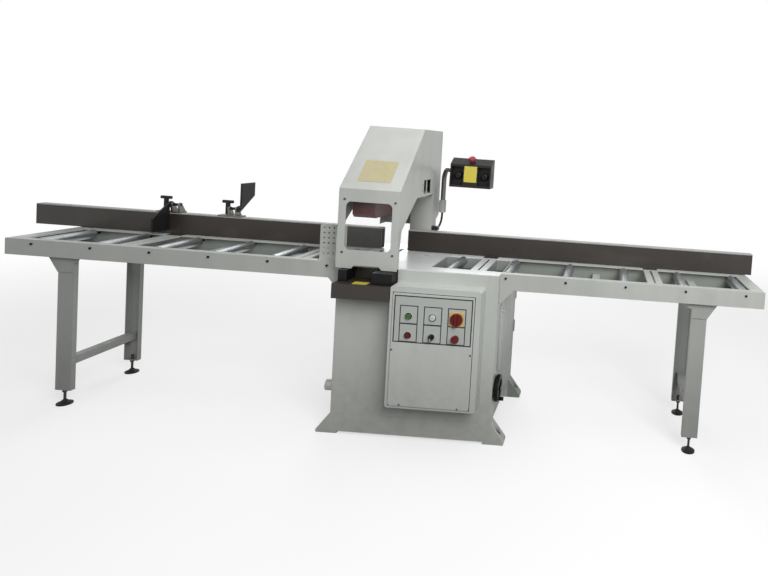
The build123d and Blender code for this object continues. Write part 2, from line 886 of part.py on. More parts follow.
# Hood: folded sheet box with a sloped brow, arched sides and a slim rear column on the right
def hood_outline(inset, bottom):
    """The side outline of the hood, moved in by inset and cut off at bottom."""
    slope_inset = inset * tan(pi / 8)
    shoulder_angle = atan2(shoulder_drop, hood_rear - column_rear)
    shoulder = table_top + shoulder_rise + inset * tan(pi / 4 - shoulder_angle / 2)
    return face_of([
        (hood_front + inset, bottom), (hood_front + inset, hood_slope_foot - slope_inset),
        (hood_slope_back + slope_inset, hood_top - inset), (hood_rear - inset, hood_top - inset),
        (hood_rear - inset, shoulder), (column_rear - inset, shoulder - shoulder_drop),
        (column_rear - inset, bottom),
    ])


hood = along_x(hood_outline(0, table_top), hood_left, hood_right)
hood -= along_x(hood_outline(hood_wall, table_top), hood_left + hood_wall, hood_right - hood_wall)
arch = face_of([
    (hood_front + hood_post, table_top), (hood_front + hood_post, table_top + arch_spring),
    (arch_shoulder_y, table_top + arch_shoulder), (arch_crown_y, table_top + arch_crown),
    (column_front, table_top + arch_crown), (column_front, table_top),
])
hood -= along_x(arch, hood_left, hood_right)
hood += block(
    hood_left, hood_right, hood_front, hood_front + hood_wall, table_top - hood_skirt, table_top + hood_wall,
)
hood -= block(hood_left, column_left, column_front, hood_rear, table_top, table_top + rear_skirt)
hood += block(
    column_left, hood_right - hood_wall / 2, column_front, column_front + hood_wall, table_top, bridge_top,
)
hood += block(
    column_left, column_left + hood_wall, column_front, column_rear - hood_wall / 2, table_top, bridge_top,
)
hood += block(
    column_left, hood_right - hood_wall / 2, column_front, column_rear - hood_wall / 2,
    table_top, table_top + hood_wall,
)
hood += block(
    hood_left + hood_wall / 2, hood_right - hood_wall / 2, bridge_front, bridge_front + bridge_depth,
    bridge_bottom, bridge_top,
)
window_z = table_top + window_centre
window = Pos(hood_mid, window_z) * RectangleRounded(window_width, window_height, window_corner)
hood -= along_y(window, hood_front, hood_front + hood_wall)
skirt_low = table_top - hood_skirt
notch = face_of([
    (hood_mid - notch_width / 2 - notch_taper, skirt_low),
    (hood_mid - notch_width / 2, skirt_low + notch_height),
    (hood_mid + notch_width / 2, skirt_low + notch_height),
    (hood_mid + notch_width / 2 + notch_taper, skirt_low),
])
hood -= along_y(notch, hood_front, hood_front + hood_wall)
for y, width, low, height in (
    (slit_y, slit_width, slit_low, slit_height), (narrow_slot_y, narrow_slot_width, slot_low, slot_height),
    (wide_slot_y, wide_slot_width, slot_low, slot_height),
):
    hood -= block(hood_right - hood_wall, hood_right, y, y + width, table_top + low, table_top + low + height)
rod_top_hole = clamp_rod_radius + running_gap
hood -= rod_z(rod_top_hole, bridge_bottom, bridge_top, clamp_mid, clamp_barrel_y)
guide_xs = (clamp_left + guide_rod_inset, clamp_left + clamp_width - guide_rod_inset)
for x in guide_xs:
    hood -= rod_z(guide_rod_radius + running_gap, bridge_bottom, bridge_top, x, guide_rod_y)
save("hood_shell", hood)

# Window pane: clear sheet screwed behind the hood's front
pane_half_width = window_width / 2 + pane_border
pane_half_height = window_height / 2 + pane_border
save("hood_window", block(
    hood_mid - pane_half_width, hood_mid + pane_half_width,
    hood_front + hood_wall, hood_front + hood_wall + pane_thickness,
    window_z - pane_half_height, window_z + pane_half_height,
))

# Wing guard: perforated plate on the left front rail, with a return flange to the hood's post
wing_left = hood_left - wing_width
wing_centre = Pos(wing_left + wing_width / 2, table_top + wing_height / 2)
wing_face = wing_centre * Rectangle(wing_width, wing_height)
wing = along_y(wing_face, wing_plane - wing_thickness, wing_plane)
wing = fillet(wing.edges().filter_by(Axis.Y).group_by(Axis.X)[0].sort_by(Axis.Z)[-1:], wing_corner)
wing_top = table_top + wing_height
wing += block(hood_left - wing_thickness, hood_left, hood_front, wing_plane, table_top, wing_top)
wing_foot_front = wing_plane - wing_foot
wing += block(wing_left, hood_left, wing_foot_front, wing_plane, table_top, table_top + wing_thickness)
for column in range(wing_hole_columns):
    for row in range(wing_hole_rows):
        wing -= rod_y(
            wing_hole_radius, wing_plane - wing_thickness, wing_plane,
            wing_left + wing_hole_margin + column * wing_hole_pitch,
            table_top + wing_height - wing_hole_margin - row * wing_row_pitch,
        )
save("wing_guard", wing)

# Hold-down clamp: padded block on the piston rod, kept square by two guide rods
clamp_back = clamp_front + clamp_depth
clamp_top = clamp_bottom + clamp_height
nose = face_of([
    (clamp_front, clamp_bottom + clamp_nose), (clamp_front, clamp_top), (clamp_back, clamp_top),
    (clamp_back, clamp_bottom + clamp_nose), (clamp_back - clamp_nose, clamp_bottom),
    (clamp_front + clamp_nose, clamp_bottom),
])
clamp_piston_low = bridge_top + clamp_barrel_height - barrel_wall - piston_height - part_gap
clamp = along_x(nose, clamp_left, clamp_left + clamp_width)
clamp += rod_z(clamp_rod_radius, clamp_top, clamp_piston_low, clamp_mid, clamp_barrel_y)
clamp += rod_z(
    clamp_barrel_radius - barrel_wall - running_gap, clamp_piston_low, clamp_piston_low + piston_height,
    clamp_mid, clamp_barrel_y,
)
for x in guide_xs:
    clamp += rod_z(guide_rod_radius, clamp_top, bridge_top + clamp_stroke + guide_rod_radius, x, guide_rod_y)
save("clamp_block", clamp)


# Air cylinders: clamp barrel on the hood's bridge, lift barrel on the cabinet's inner beam
def barrel(radius, low, high, cap):
    """A barrel closed by a cap at both ends."""
    tube = rod_z(radius, low, high, 0, 0)
    tube -= rod_z(radius - barrel_wall, low + cap, high - cap, 0, 0)
    return tube


clamp_barrel = barrel(clamp_barrel_radius, bridge_top, bridge_top + clamp_barrel_height, barrel_wall)
clamp_barrel -= rod_z(clamp_rod_radius + running_gap, bridge_top, bridge_top + barrel_wall, 0, 0)
lift_top = lift_beam_top + lift_barrel_height
lift_barrel = barrel(lift_barrel_radius, lift_beam_top, lift_top, lift_end_cap)
lift_barrel -= rod_z(lift_rod_radius + running_gap, lift_top - lift_end_cap, lift_top, 0, 0)
save("air_cylinders", Pos(clamp_mid, clamp_barrel_y) * clamp_barrel, Pos(lift_x, lug_y) * lift_barrel)

# Lift rod: piston, rod and an eye with a cross slot for the arm's pin
lift_piston_low = lift_beam_top + lift_end_cap + part_gap
lift_rod = rod_z(
    lift_barrel_radius - barrel_wall - running_gap, lift_piston_low, lift_piston_low + piston_height,
    lift_x, lug_y,
)
lift_rod += rod_z(lift_rod_radius, lift_piston_low, lug_z - lift_eye_radius / 2, lift_x, lug_y)
eye = Pos(lug_y, lug_z) * SlotCenterToCenter(2 * eye_slot_play, 2 * lift_eye_radius)
eye_hole = Pos(lug_y, lug_z) * SlotCenterToCenter(2 * eye_slot_play, 2 * (lug_pin_radius + eye_slot_gap))
lift_rod += along_x(eye, lift_x - lift_eye_thickness / 2, lift_x + lift_eye_thickness / 2)
lift_rod -= along_x(eye_hole, lift_x - lift_eye_thickness / 2, lift_x + lift_eye_thickness / 2)
save("lift_rod", lift_rod)

# Swing arm: hub, arbor housing, two ribs, motor plate and the lift pin, with its pivot shaft
arm = rod_x(hub_radius, hub_left, hub_right, pivot_y, pivot_z)
arm += rod_x(housing_radius, housing_left, housing_right, blade_y, blade_z)
rib_centre = lift_x
for side in (-1, 1):
    inner = rib_centre + side * arm_rib_gap / 2
    outer = inner + side * arm_rib
    low, high = min(inner, outer), max(inner, outer)
    arm += along_x(link_face(pivot_y, pivot_z, hub_radius, blade_y, blade_z, housing_radius), low, high)
    arm += rod_x(lug_radius, low, high, lug_y, lug_z)
pin_half = arm_rib_gap / 2 + arm_rib
arm += rod_x(lug_pin_radius, rib_centre - pin_half, rib_centre + pin_half, lug_y, lug_z)
arm += along_x(
    link_face(pivot_y, pivot_z, hub_radius, motor_y, motor_z, motor_flange_radius),
    motor_plate_left, motor_face,
)
arm -= rod_x(bearing_radius, housing_left, housing_right, blade_y, blade_z)
arm -= rod_x(pivot_radius, hub_left, hub_right, pivot_y, pivot_z)
arm -= rod_x(motor_pulley_radius, motor_plate_left, motor_face, motor_y, motor_z)
pivot_shaft = rod_x(
    pivot_radius - running_gap / 3, pedestal_xs[0] - part_gap, pedestal_xs[1] + pedestal_thickness + part_gap,
    pivot_y, pivot_z,
)

# Arbor bearings: two rings in the housing
bearings = []
for x in (housing_left, housing_right - bearing_width):
    ring = rod_x(bearing_radius - running_gap / 3, x, x + bearing_width, blade_y, blade_z)
    bearings.append(ring - rod_x(arbor_radius + running_gap, x, x + bearing_width, blade_y, blade_z))
save("swing_arm", arm, pivot_shaft, *bearings)

# Arbor: shaft, two blade flanges and nut, as separate solids, with the driven pulley
blade_left = blade_x - blade_thickness / 2
blade_right = blade_x + blade_thickness / 2
outer_flange_left = blade_left - flange_thickness
shaft_left = outer_flange_left - arbor_nut_height
seat_gap = running_gap / 3
shaft = rod_x(arbor_radius, shaft_left, pulley_right, blade_y, blade_z)
flanges = []
for x in (outer_flange_left, blade_right):
    ring = rod_x(flange_radius, x, x + flange_thickness, blade_y, blade_z)
    flanges.append(ring - rod_x(arbor_radius + seat_gap, x, x + flange_thickness, blade_y, blade_z))
nut_face = Pos(blade_y, blade_z) * RegularPolygon(arbor_nut_across / 2, 6, major_radius=False)
nut = along_x(nut_face, shaft_left, outer_flange_left)
nut -= rod_x(arbor_radius + seat_gap, shaft_left, outer_flange_left, blade_y, blade_z)


# Saw blade: flat disc with hooked teeth and a bore for the arbor
def blade_face():
    """The toothed outline of the blade about the origin."""
    points = []
    step = 2 * pi / blade_teeth
    root = blade_radius - tooth_height
    for tooth in range(blade_teeth):
        angle = tooth * step
        points.append((blade_radius * cos(angle), blade_radius * sin(angle)))
        points.append((root * cos(angle + 0.05 * step), root * sin(angle + 0.05 * step)))
        points.append((root * cos(angle + 0.45 * step), root * sin(angle + 0.45 * step)))
    return face_of(points)


blade = along_x(Pos(blade_y, blade_z) * blade_face(), blade_left, blade_right)
blade -= rod_x(arbor_radius + seat_gap, blade_left, blade_right, blade_y, blade_z)
save("saw_blade", blade)


# Drive: grooved pulleys, the ribbed belt round them and the flange motor
def pulley(radius, bore, y, z):
    """A pulley with vee grooves, from the housing side to the motor side."""
    pitch = pulley_width / groove_count
    points = [(bore, arbor_pulley_left), (radius, arbor_pulley_left)]
    for groove in range(groove_count):
        start = arbor_pulley_left + groove * pitch
        points += [
            (radius, start + pitch / 6), (radius - pulley_groove, start + pitch / 2 - pitch / 12),
            (radius - pulley_groove, start + pitch / 2 + pitch / 12), (radius, start + 5 * pitch / 6),
        ]
    points += [(radius, pulley_right), (bore, pulley_right)]
    profile = Plane((0, y, z), x_dir=(0, 1, 0), z_dir=(0, 0, -1)) * face_of(points)
    return revolve(profile, Axis((0, y, z), (1, 0, 0)))


def belt_face(grow):
    """The outline of the belt at a distance outside both pulleys."""
    return link_face(
        blade_y, blade_z, arbor_pulley_radius + grow, motor_y, motor_z, motor_pulley_radius + grow,
    )


driven_pulley = pulley(arbor_pulley_radius, arbor_radius + seat_gap, blade_y, blade_z)
save("arbor", shaft, *flanges, nut, driven_pulley)
rotor = rod_x(motor_shaft_radius, arbor_pulley_left, motor_face + motor_flange, motor_y, motor_z)
save("motor_pulley", pulley(motor_pulley_radius, motor_shaft_radius + seat_gap, motor_y, motor_z), rotor)
belt = along_x(belt_face(belt_gap + belt_thickness), arbor_pulley_left, pulley_right)
belt -= along_x(belt_face(belt_gap), arbor_pulley_left, pulley_right)
save("drive_belt", belt)

motor_end = motor_face + motor_flange + motor_length
motor = rod_x(motor_flange_radius, motor_face, motor_face + motor_flange, motor_y, motor_z)
motor += rod_x(motor_radius - fin_height, motor_face + motor_flange, motor_end, motor_y, motor_z)
for index in range(motor_fins):
    fin = Pos(motor_radius - fin_height, 0) * Rectangle(2 * fin_height, fin_thickness)
    fin = Rot(0, 0, 360 * index / motor_fins) * fin
    motor += along_x(Pos(motor_y, motor_z) * fin, motor_face + motor_flange, motor_end)
motor += rod_x(motor_radius + fin_height / 2, motor_end, motor_end + cowl_length, motor_y, motor_z)
motor += block(
    motor_end - 2 * terminal_box, motor_end - terminal_box,
    motor_y - motor_radius - terminal_box / 3, motor_y,
    motor_z - terminal_box / 2, motor_z + terminal_box / 2,
)
motor -= rod_x(motor_shaft_radius + running_gap, motor_face, motor_face + motor_flange, motor_y, motor_z)
save("motor", motor)

# Electric box: welded tray with a front lip, and its screwed cover with the control collars
enclosure = block(box_left, box_right, box_front, cabinet_front, box_bottom, box_top)
enclosure = fillet(enclosure.edges().filter_by(Axis.Y), box_corner)
hollow = block(
    box_left + box_wall, box_right - box_wall, box_front + box_wall, cabinet_front - box_wall,
    box_bottom + box_wall, box_top - box_wall,
)
enclosure -= fillet(hollow.edges().filter_by(Axis.Y), box_corner - box_wall)
enclosure -= block(
    box_left + box_lip, box_right - box_lip, box_front, box_front + box_wall,
    box_bottom + box_lip, box_top - box_lip,
)
save("control_box", enclosure)

cover_left = box_left + cover_margin_left
cover_right = box_right - cover_margin_right
cover_low = box_bottom + cover_margin_low
cover_high = box_top - cover_margin_high
cover_face = Pos((cover_left + cover_right) / 2, (cover_low + cover_high) / 2) * RectangleRounded(
    cover_right - cover_left, cover_high - cover_low, cover_corner,
)
cover = along_y(cover_face, cover_front, box_front)
columns = [box_left + control_inset + control_pitch_x * index for index in range(3)]
upper_row = box_top - control_drop
lower_row = upper_row - control_pitch_z
collar_front = cover_front - collar_height
button_places = {
    "green_button": (columns[0], upper_row, button_radius),
    "red_button": (columns[0], lower_row, button_radius),
    "stop_button": (columns[2], lower_row, button_radius),
}
for x, z, radius in button_places.values():
    cover += rod_y(radius + collar_border, collar_front, cover_front, x, z)
    cover -= rod_y(radius + part_gap, collar_front, box_front, x, z)
knob_places = {"main_switch": (columns[2], upper_row), "selector_knob": (columns[1], lower_row)}
switch_square = RectangleRounded(switch_plate_side, switch_plate_side, 2 * collar_border)
switch_plate = Pos(*knob_places["main_switch"]) * switch_square
cover += along_y(switch_plate, cover_front - switch_plate_thickness, cover_front)
cover += rod_y(knob_radius + collar_border, collar_front, cover_front, *knob_places["selector_knob"])
for x, z in knob_places.values():
    cover -= rod_y(spindle_radius + running_gap, cover_front - switch_plate_thickness, box_front, x, z)
lamp = rod_y(lamp_radius, collar_front - lamp_height, collar_front, columns[1], upper_row)
lamp = fillet(lamp.edges().filter_by(GeomType.CIRCLE).sort_by(Axis.Y)[:1], lamp_height / 2)
cover += rod_y(lamp_radius + collar_border, collar_front, cover_front, columns[1], upper_row)
save("control_cover", cover, lamp)

for name, (x, z, radius) in button_places.items():
    button = rod_y(radius, collar_front - button_proud, collar_front - button_proud + button_depth, x, z)
    if name == "stop_button":
        crown = collar_front - button_proud - mushroom_height
        button += rod_y(mushroom_radius, crown, crown + mushroom_height, x, z)
    save(name, button)

for name, radius, plate_thickness in (
    ("main_switch", switch_radius, switch_plate_thickness), ("selector_knob", knob_radius, collar_height),
):
    x, z = knob_places[name]
    seat = cover_front - plate_thickness - part_gap
    knob = rod_y(radius, seat - knob_height, seat, x, z)
    knob += block(
        x - grip_thickness / 2, x + grip_thickness / 2,
        seat - knob_height - grip_height, seat - knob_height / 2,
        z - radius, z + radius,
    )
    knob += rod_y(spindle_radius, seat - knob_height, box_front + button_depth, x, z)
    save(name, knob)

# Start tray: folded brown sheet that lines the niche under the hood
tray = block(tray_left, tray_right, tray_front, tray_back, tray_top - tray_wall, tray_top)
tray += block(tray_left, tray_right, tray_front, tray_front + tray_wall, tray_top - tray_apron, tray_top)
tray += block(tray_left, tray_right, tray_back - tray_wall, tray_back, tray_top - tray_wall, plate_bottom)
for x in (tray_left, tray_right - tray_wall):
    tray += block(x, x + tray_wall, tray_front, cabinet_front, tray_top - tray_apron, tray_top)
    tray += block(x, x + tray_wall, cabinet_front, tray_back, tray_top - tray_wall, plate_bottom)
save("start_tray", tray)


# Valve boxes: two black housings on the tray, left and right of the niche
def valve_box(x0, x1, front):
    """A closed housing with rounded upright edges."""
    back = tray_back - tray_wall - valve_back_gap
    body = block(x0, x1, front, back, tray_top, tray_top + valve_box_height)
    return fillet(body.edges().filter_by(Axis.Z), valve_box_corner)


valve_left = tray_left + tray_wall
valve_right = tray_right - tray_wall
save(
    "valve_boxes",
    valve_box(valve_left, valve_left + left_valve_width, tray_front + left_valve_setback),
    valve_box(valve_right - right_valve_width, valve_right, tray_front + right_valve_setback),
)

# Dust port: short spout with a square flange on the left side
dust = rod_x(dust_radius, -cabinet_half - dust_reach, -cabinet_half + cabinet_wall, dust_y, dust_z)
flange_face = Pos(dust_y, dust_z) * Rectangle(dust_flange, dust_flange)
dust += along_x(flange_face, -cabinet_half - dust_flange_thickness, -cabinet_half)
dust_inner = dust_radius - dust_wall
dust -= rod_x(dust_inner, -cabinet_half - dust_reach, -cabinet_half + cabinet_wall, dust_y, dust_z)
save("dust_port", dust)

# Handwheel: thick rim with a full web on a hub and shaft, and a crank grip at the bottom of the rim
wheel_left = cabinet_half + wheel_standoff
wheel_right = wheel_left + 2 * wheel_rim
rim_ring = Circle(wheel_radius) - Circle(wheel_radius - 2 * wheel_rim)
wheel = along_x(Pos(wheel_y, wheel_z) * rim_ring, wheel_left, wheel_right)
wheel = fillet(wheel.edges().filter_by(GeomType.CIRCLE), wheel_rim / 2)
web_left = (wheel_left + wheel_right - wheel_web) / 2
wheel += rod_x(wheel_radius - wheel_rim, web_left, web_left + wheel_web, wheel_y, wheel_z)
wheel += rod_x(wheel_hub_radius, cabinet_half + part_gap, wheel_left + wheel_hub_length, wheel_y, wheel_z)
wheel += rod_x(wheel_shaft_radius, cabinet_half - wheel_shaft_length, wheel_left, wheel_y, wheel_z)
crank_z = wheel_z - wheel_radius + wheel_rim
wheel += rod_x(crank_radius, wheel_right - wheel_rim / 2, wheel_right + crank_length, wheel_y, crank_z)
save("handwheel", wheel)

# Pendant socket on the column's right side, with the cable entry below it
socket = rod_z(socket_radius, socket_bottom, socket_bottom + socket_height, socket_x, socket_y)
socket += block(
    hood_right, socket_x, socket_y - socket_radius / 2, socket_y + socket_radius / 2,
    socket_bottom + socket_radius / 2, socket_bottom + socket_height - socket_radius / 2,
)
socket_floor = socket_bottom + 2 * cable_radius
socket_top = socket_bottom + socket_height
socket -= rod_z(arm_tube_radius + running_gap, socket_floor, socket_top, socket_x, socket_y)
entry = block(
    hood_right, hood_right + gland_side + 2 * cable_radius, gland_y - gland_depth, gland_y,
    gland_z - gland_side / 2, gland_z + gland_side / 2,
)
save("pendant_socket", socket, fillet(entry.edges().filter_by(Axis.Y), cable_radius))

# Pendant cable: from the socket's floor in a quarter loop to the entry block
runs = [Vector(*end) - Vector(*start) for start, end in zip(cable_route, cable_route[1:])]
turns = [first.get_angle(second) for first, second in zip(runs, runs[1:])]
bend_radii = [
    0.45 * min(first.length, second.length) / tan(radians(turn) / 2)
    for first, second, turn in zip(runs, runs[1:], turns)
]
cable_path = FilletPolyline(*cable_route, radius=bend_radii)
cable_start = Plane(cable_route[0], z_dir=runs[0])
cable = sweep(cable_start * Circle(cable_radius), path=cable_path)
print("cable bends", [round(radius, 1) for radius in bend_radii], "length", round(cable_path.length, 1))
cable_section = pi * cable_radius ** 2
print("cable volume", round(cable.volume, 1), "section x length", round(cable_section * cable_path.length, 1))
save("pendant_cable", cable)

# Pendant arm: bent tube that swivels in the socket and carries the station
arm_end_x = pendant_left + pendant_width / 4
arm_foot = socket_floor + part_gap
arm_path = FilletPolyline(
    (socket_x, socket_y, arm_foot), (socket_x, socket_y, arm_top),
    (arm_end_x, pendant_back - arm_tube_radius, arm_top),
    radius=arm_bend,
)
pendant_arm = sweep(Plane((socket_x, socket_y, arm_foot)) * Circle(arm_tube_radius), path=arm_path)
pendant_arm -= block(
    pendant_left, pendant_left + pendant_width, pendant_back - 2 * arm_tube_radius, pendant_back,
    pendant_bottom, pendant_bottom + pendant_height,
)
save("pendant_arm", pendant_arm)

# Pendant station: sheet housing with a sloped roof and two recesses beside a middle bridge
pendant_right = pendant_left + pendant_width
pendant_top = pendant_bottom + pendant_height
brow_y = pendant_front + pendant_brow_back
brow_z = pendant_bottom + pendant_brow
roof_front = pendant_back - pendant_roof
station_face = face_of([
    (pendant_front, pendant_bottom), (brow_y, brow_z), (roof_front, pendant_top), (pendant_back, pendant_top),
    (pendant_back, pendant_bottom),
])
station = along_x(station_face, pendant_left, pendant_right)
recess_back = pendant_front + recess_depth
pendant_mid = (pendant_left + pendant_right) / 2
recess_spans = (
    (pendant_left + pendant_cheek, pendant_mid - pendant_bridge / 2),
    (pendant_mid + pendant_bridge / 2, pendant_right - pendant_cheek),
)
palm_z = pendant_bottom + pendant_brow / 2
palm_xs = []
for x0, x1 in recess_spans:
    station -= block(x0, x1, pendant_front, recess_back, pendant_bottom + pendant_lip, brow_z - pendant_lip)
    palm_xs.append((x0 + x1) / 2)
    palm_bore = palm_stem_radius + part_gap
    station -= rod_y(palm_bore, recess_back, pendant_back - pendant_cheek, palm_xs[-1], palm_z)
slope_length = sqrt((roof_front - brow_y) ** 2 + (pendant_top - brow_z) ** 2)
slope_normal = (0, -(pendant_top - brow_z) / slope_length, (roof_front - brow_y) / slope_length)
estop_plane = Plane(
    (pendant_mid, (brow_y + roof_front) / 2, (brow_z + pendant_top) / 2),
    x_dir=(1, 0, 0), z_dir=slope_normal,
)
estop_bore = estop_plane * Circle(estop_stem_radius + part_gap)
station -= extrude(estop_bore, -2 * estop_stem)
save("pendant_station", station)

for side, x in zip(("left", "right"), palm_xs):
    palm_back = recess_back - palm_travel - part_gap
    palm = rod_y(palm_radius, palm_back - palm_height, palm_back, x, palm_z)
    palm = fillet(palm.edges().filter_by(GeomType.CIRCLE).sort_by(Axis.Y)[:1], palm_height / 2)
    palm += rod_y(palm_stem_radius, palm_back, recess_back + palm_height, x, palm_z)
    save(f"{side}_palm_button", palm)

stem_plane = estop_plane.offset(-estop_stem + part_gap)
estop = extrude(stem_plane * Circle(estop_stem_radius), 2 * estop_stem)
head = extrude(estop_plane.offset(estop_stem) * Circle(estop_radius), estop_head)
head = fillet(head.edges().filter_by(GeomType.CIRCLE).sort_by(Axis.Z)[-1:], estop_head / 2)
save("emergency_stop", estop + head)


# Flip stops: carriage with two ears and a hinge pin, a swinging flag and a tee knob
def stop_carriage(flag_x, ear_side, knob_x, start, length):
    """The base plate on the track, the ears beside the flag, and the pin with its sleeve between them."""
    base = block(start, start + length, fence_front, fence_back, fence_top + part_gap, stop_base_top)
    first = flag_x + ear_side * stop_ear_gap
    ear_foot = stop_base_top - stop_base_thickness / 2
    for centre in (first, first + ear_side * stop_ear_pitch):
        x0 = centre - stop_ear_thickness / 2
        x1 = centre + stop_ear_thickness / 2
        ear = face_of([
            (fence_front, ear_foot), (stop_pin_y - stop_ear_radius, stop_pin_z),
            (stop_pin_y + stop_ear_radius, stop_pin_z), (fence_back, ear_foot),
        ])
        base += along_x(ear, x0, x1) + rod_x(stop_ear_radius, x0, x1, stop_pin_y, stop_pin_z)
    pin_ends = sorted((flag_x - ear_side * flag_thickness, first + ear_side * stop_ear_pitch))
    base += rod_x(stop_pin_radius, pin_ends[0], pin_ends[1], stop_pin_y, stop_pin_z)
    sleeve_ends = sorted((first, first + ear_side * stop_ear_pitch))
    base += rod_x(stop_sleeve_radius, sleeve_ends[0], sleeve_ends[1], stop_pin_y, stop_pin_z)
    base -= rod_z(stud_radius + running_gap, fence_top, stop_base_top, knob_x, stop_knob_y)
    return base


def stop_flag(x):
    """The flag in its lowered place, hanging in front of the fence from the hinge pin."""
    back = fence_front - flag_back_gap
    front = back - flag_reach
    low = table_top + flag_floor_gap
    head_top = stop_pin_z + flag_head_radius
    head_low = stop_pin_z - flag_head_radius
    outline = face_of([
        (front, low), (front, low + flag_front_height),
        (stop_pin_y - flag_shoulder_y, stop_pin_z + flag_shoulder_z), (stop_pin_y, head_top),
        (stop_pin_y, head_low), (back, head_low), (back, low),
    ])
    x0 = x - flag_thickness / 2
    x1 = x + flag_thickness / 2
    flag = along_x(outline, x0, x1) + rod_x(flag_head_radius, x0, x1, stop_pin_y, stop_pin_z)
    return flag - rod_x(stop_pin_radius + running_gap, x0, x1, stop_pin_y, stop_pin_z)


def stop_knob(x):
    """The tee knob with its clamp stud."""
    top = stop_base_top + stop_knob_height
    knob = rod_z(stud_radius, fence_top + part_gap, top, x, stop_knob_y)
    knob += rod_z(stop_knob_neck, stop_base_top + stop_knob_collar, top, x, stop_knob_y)
    knob += rod_x(stop_knob_bar_radius, x - stop_knob_bar, x + stop_knob_bar, stop_knob_y, top)
    return knob


stop_base_starts = [left_fence_start + offset for offset in stop_base_offsets]
flag_xs = [start + offset for start, offset in zip(stop_base_starts, flag_offsets)]
stop_knob_xs = [start + offset for start, offset in zip(stop_base_starts, stop_knob_offsets)]
stop_sizes = zip(flag_xs, stop_ear_sides, stop_knob_xs, stop_base_starts, stop_base_lengths)
for number, (flag_x, ear_side, knob_x, start, length) in enumerate(stop_sizes, 1):
    save(f"stop_carriage_{number}", stop_carriage(flag_x, ear_side, knob_x, start, length))
    save(f"stop_knob_{number}", stop_knob(knob_x))
save("stop_flag_1", stop_flag(flag_xs[0]))
save("stop_flag_2", stop_flag(flag_xs[1]).rotate(Axis((0, stop_pin_y, stop_pin_z), (1, 0, 0)), 180))

print("pivot", round(pivot_y, 3), round(pivot_z, 3), "swing", round(degrees(2 * half_swing), 4))
print("lift travel", round(lift_travel, 4), "lug", round(lug_y, 3), round(lug_z, 3))
print("motor axis", round(motor_y, 3), round(motor_z, 3))
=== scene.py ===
import math

import bmesh
import bpy
from mathutils import Matrix, Vector


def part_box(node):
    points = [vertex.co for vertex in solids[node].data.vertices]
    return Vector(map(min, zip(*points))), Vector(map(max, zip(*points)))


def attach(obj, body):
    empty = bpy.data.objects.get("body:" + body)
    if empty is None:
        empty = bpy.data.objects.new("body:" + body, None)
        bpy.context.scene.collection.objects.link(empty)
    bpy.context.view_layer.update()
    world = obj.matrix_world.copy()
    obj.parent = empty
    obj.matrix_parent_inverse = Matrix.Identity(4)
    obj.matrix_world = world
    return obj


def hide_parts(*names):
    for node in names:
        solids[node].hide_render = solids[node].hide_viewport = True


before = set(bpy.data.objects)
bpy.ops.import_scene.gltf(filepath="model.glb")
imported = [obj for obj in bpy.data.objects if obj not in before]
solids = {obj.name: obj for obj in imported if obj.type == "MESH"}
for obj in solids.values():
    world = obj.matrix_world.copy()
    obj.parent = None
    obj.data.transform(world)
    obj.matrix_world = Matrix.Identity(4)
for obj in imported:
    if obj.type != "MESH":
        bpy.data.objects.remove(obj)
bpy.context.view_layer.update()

bpy.context.scene.view_settings.view_transform = "Standard"


# Studio. The machine stands on a plain pale floor in soft light from the front right and behind.
# The floor is matt and keeps the shadow; a few metres out it fades into white air.
class Field:
    """A socket of a node tree; sums and products of fields and numbers add Math nodes."""

    def __init__(self, recipe, socket):
        self.recipe = recipe
        self.socket = socket

    def maths(self, operation, *values):
        """A Math node on fields and numbers."""
        return self.recipe.node("ShaderNodeMath", {"operation": operation}, dict(enumerate(values)))

    def __add__(self, other):
        return self.maths("ADD", self, other)

    def __radd__(self, other):
        return self.maths("ADD", other, self)

    def __sub__(self, other):
        return self.maths("SUBTRACT", self, other)

    def __rsub__(self, other):
        return self.maths("SUBTRACT", other, self)

    def __mul__(self, other):
        return self.maths("MULTIPLY", self, other)

    def __rmul__(self, other):
        return self.maths("MULTIPLY", other, self)

    def __lt__(self, other):
        return self.maths("LESS_THAN", self, other)

    def __gt__(self, other):
        return self.maths("GREATER_THAN", self, other)

    def __abs__(self):
        return self.maths("ABSOLUTE", self)

    def larger(self, other):
        return self.maths("MAXIMUM", self, other)


class Recipe:
    """A node tree that one method fills."""

    def __init__(self, tree):
        self.tree = tree

    def node(self, kind, settings=(), sockets=(), out=0):
        """A new node, its settings first, then the values or links of its sockets."""
        made = self.tree.nodes.new(kind)
        for name, value in dict(settings).items():
            setattr(made, name, value)
        for name, value in dict(sockets).items():
            self.put(made.inputs[name], value)
        return Field(self, made.outputs[out])

    def put(self, socket, value):
        """Link a field to a socket, or set the socket's own value."""
        if isinstance(value, Field):
            self.tree.links.new(value.socket, socket)
        else:
            socket.default_value = value

    def outputs(self, field):
        """Every output of the node that a field comes from."""
        return [Field(self, socket) for socket in field.socket.node.outputs]

    def band(self, field, low, high):
        """0 at low and 1 at high, smooth between; low may be the larger."""
        return self.node(
            "ShaderNodeMapRange", {"interpolation_type": "SMOOTHSTEP"},
            {"Value": field, "From Min": low, "From Max": high},
        )

    def mix(self, share, first, second):
        """The first colour where the share is 0 and the second where it is 1."""
        colours = {0: share, 6: first, 7: second}
        return self.node("ShaderNodeMix", {"data_type": "RGBA"}, colours, out=2)

    def seen(self):
        """1 where the eye looks straight, in a reflection or through glass."""
        path = self.node("ShaderNodeLightPath").socket.node.outputs
        camera, glossy, clear = (
            Field(self, path[name])
            for name in ("Is Camera Ray", "Is Glossy Ray", "Is Transmission Ray")
        )
        return camera.larger(glossy).larger(clear)


def srgb(red, green, blue):
    """A colour as read from a picture, 0 to 255, as the linear values that shaders take."""
    parts = [part / 255 for part in (red, green, blue)]
    linear = [
        part / 12.92 if part <= 0.04045 else ((part + 0.055) / 1.055) ** 2.4 for part in parts
    ]
    return (*linear, 1.0)


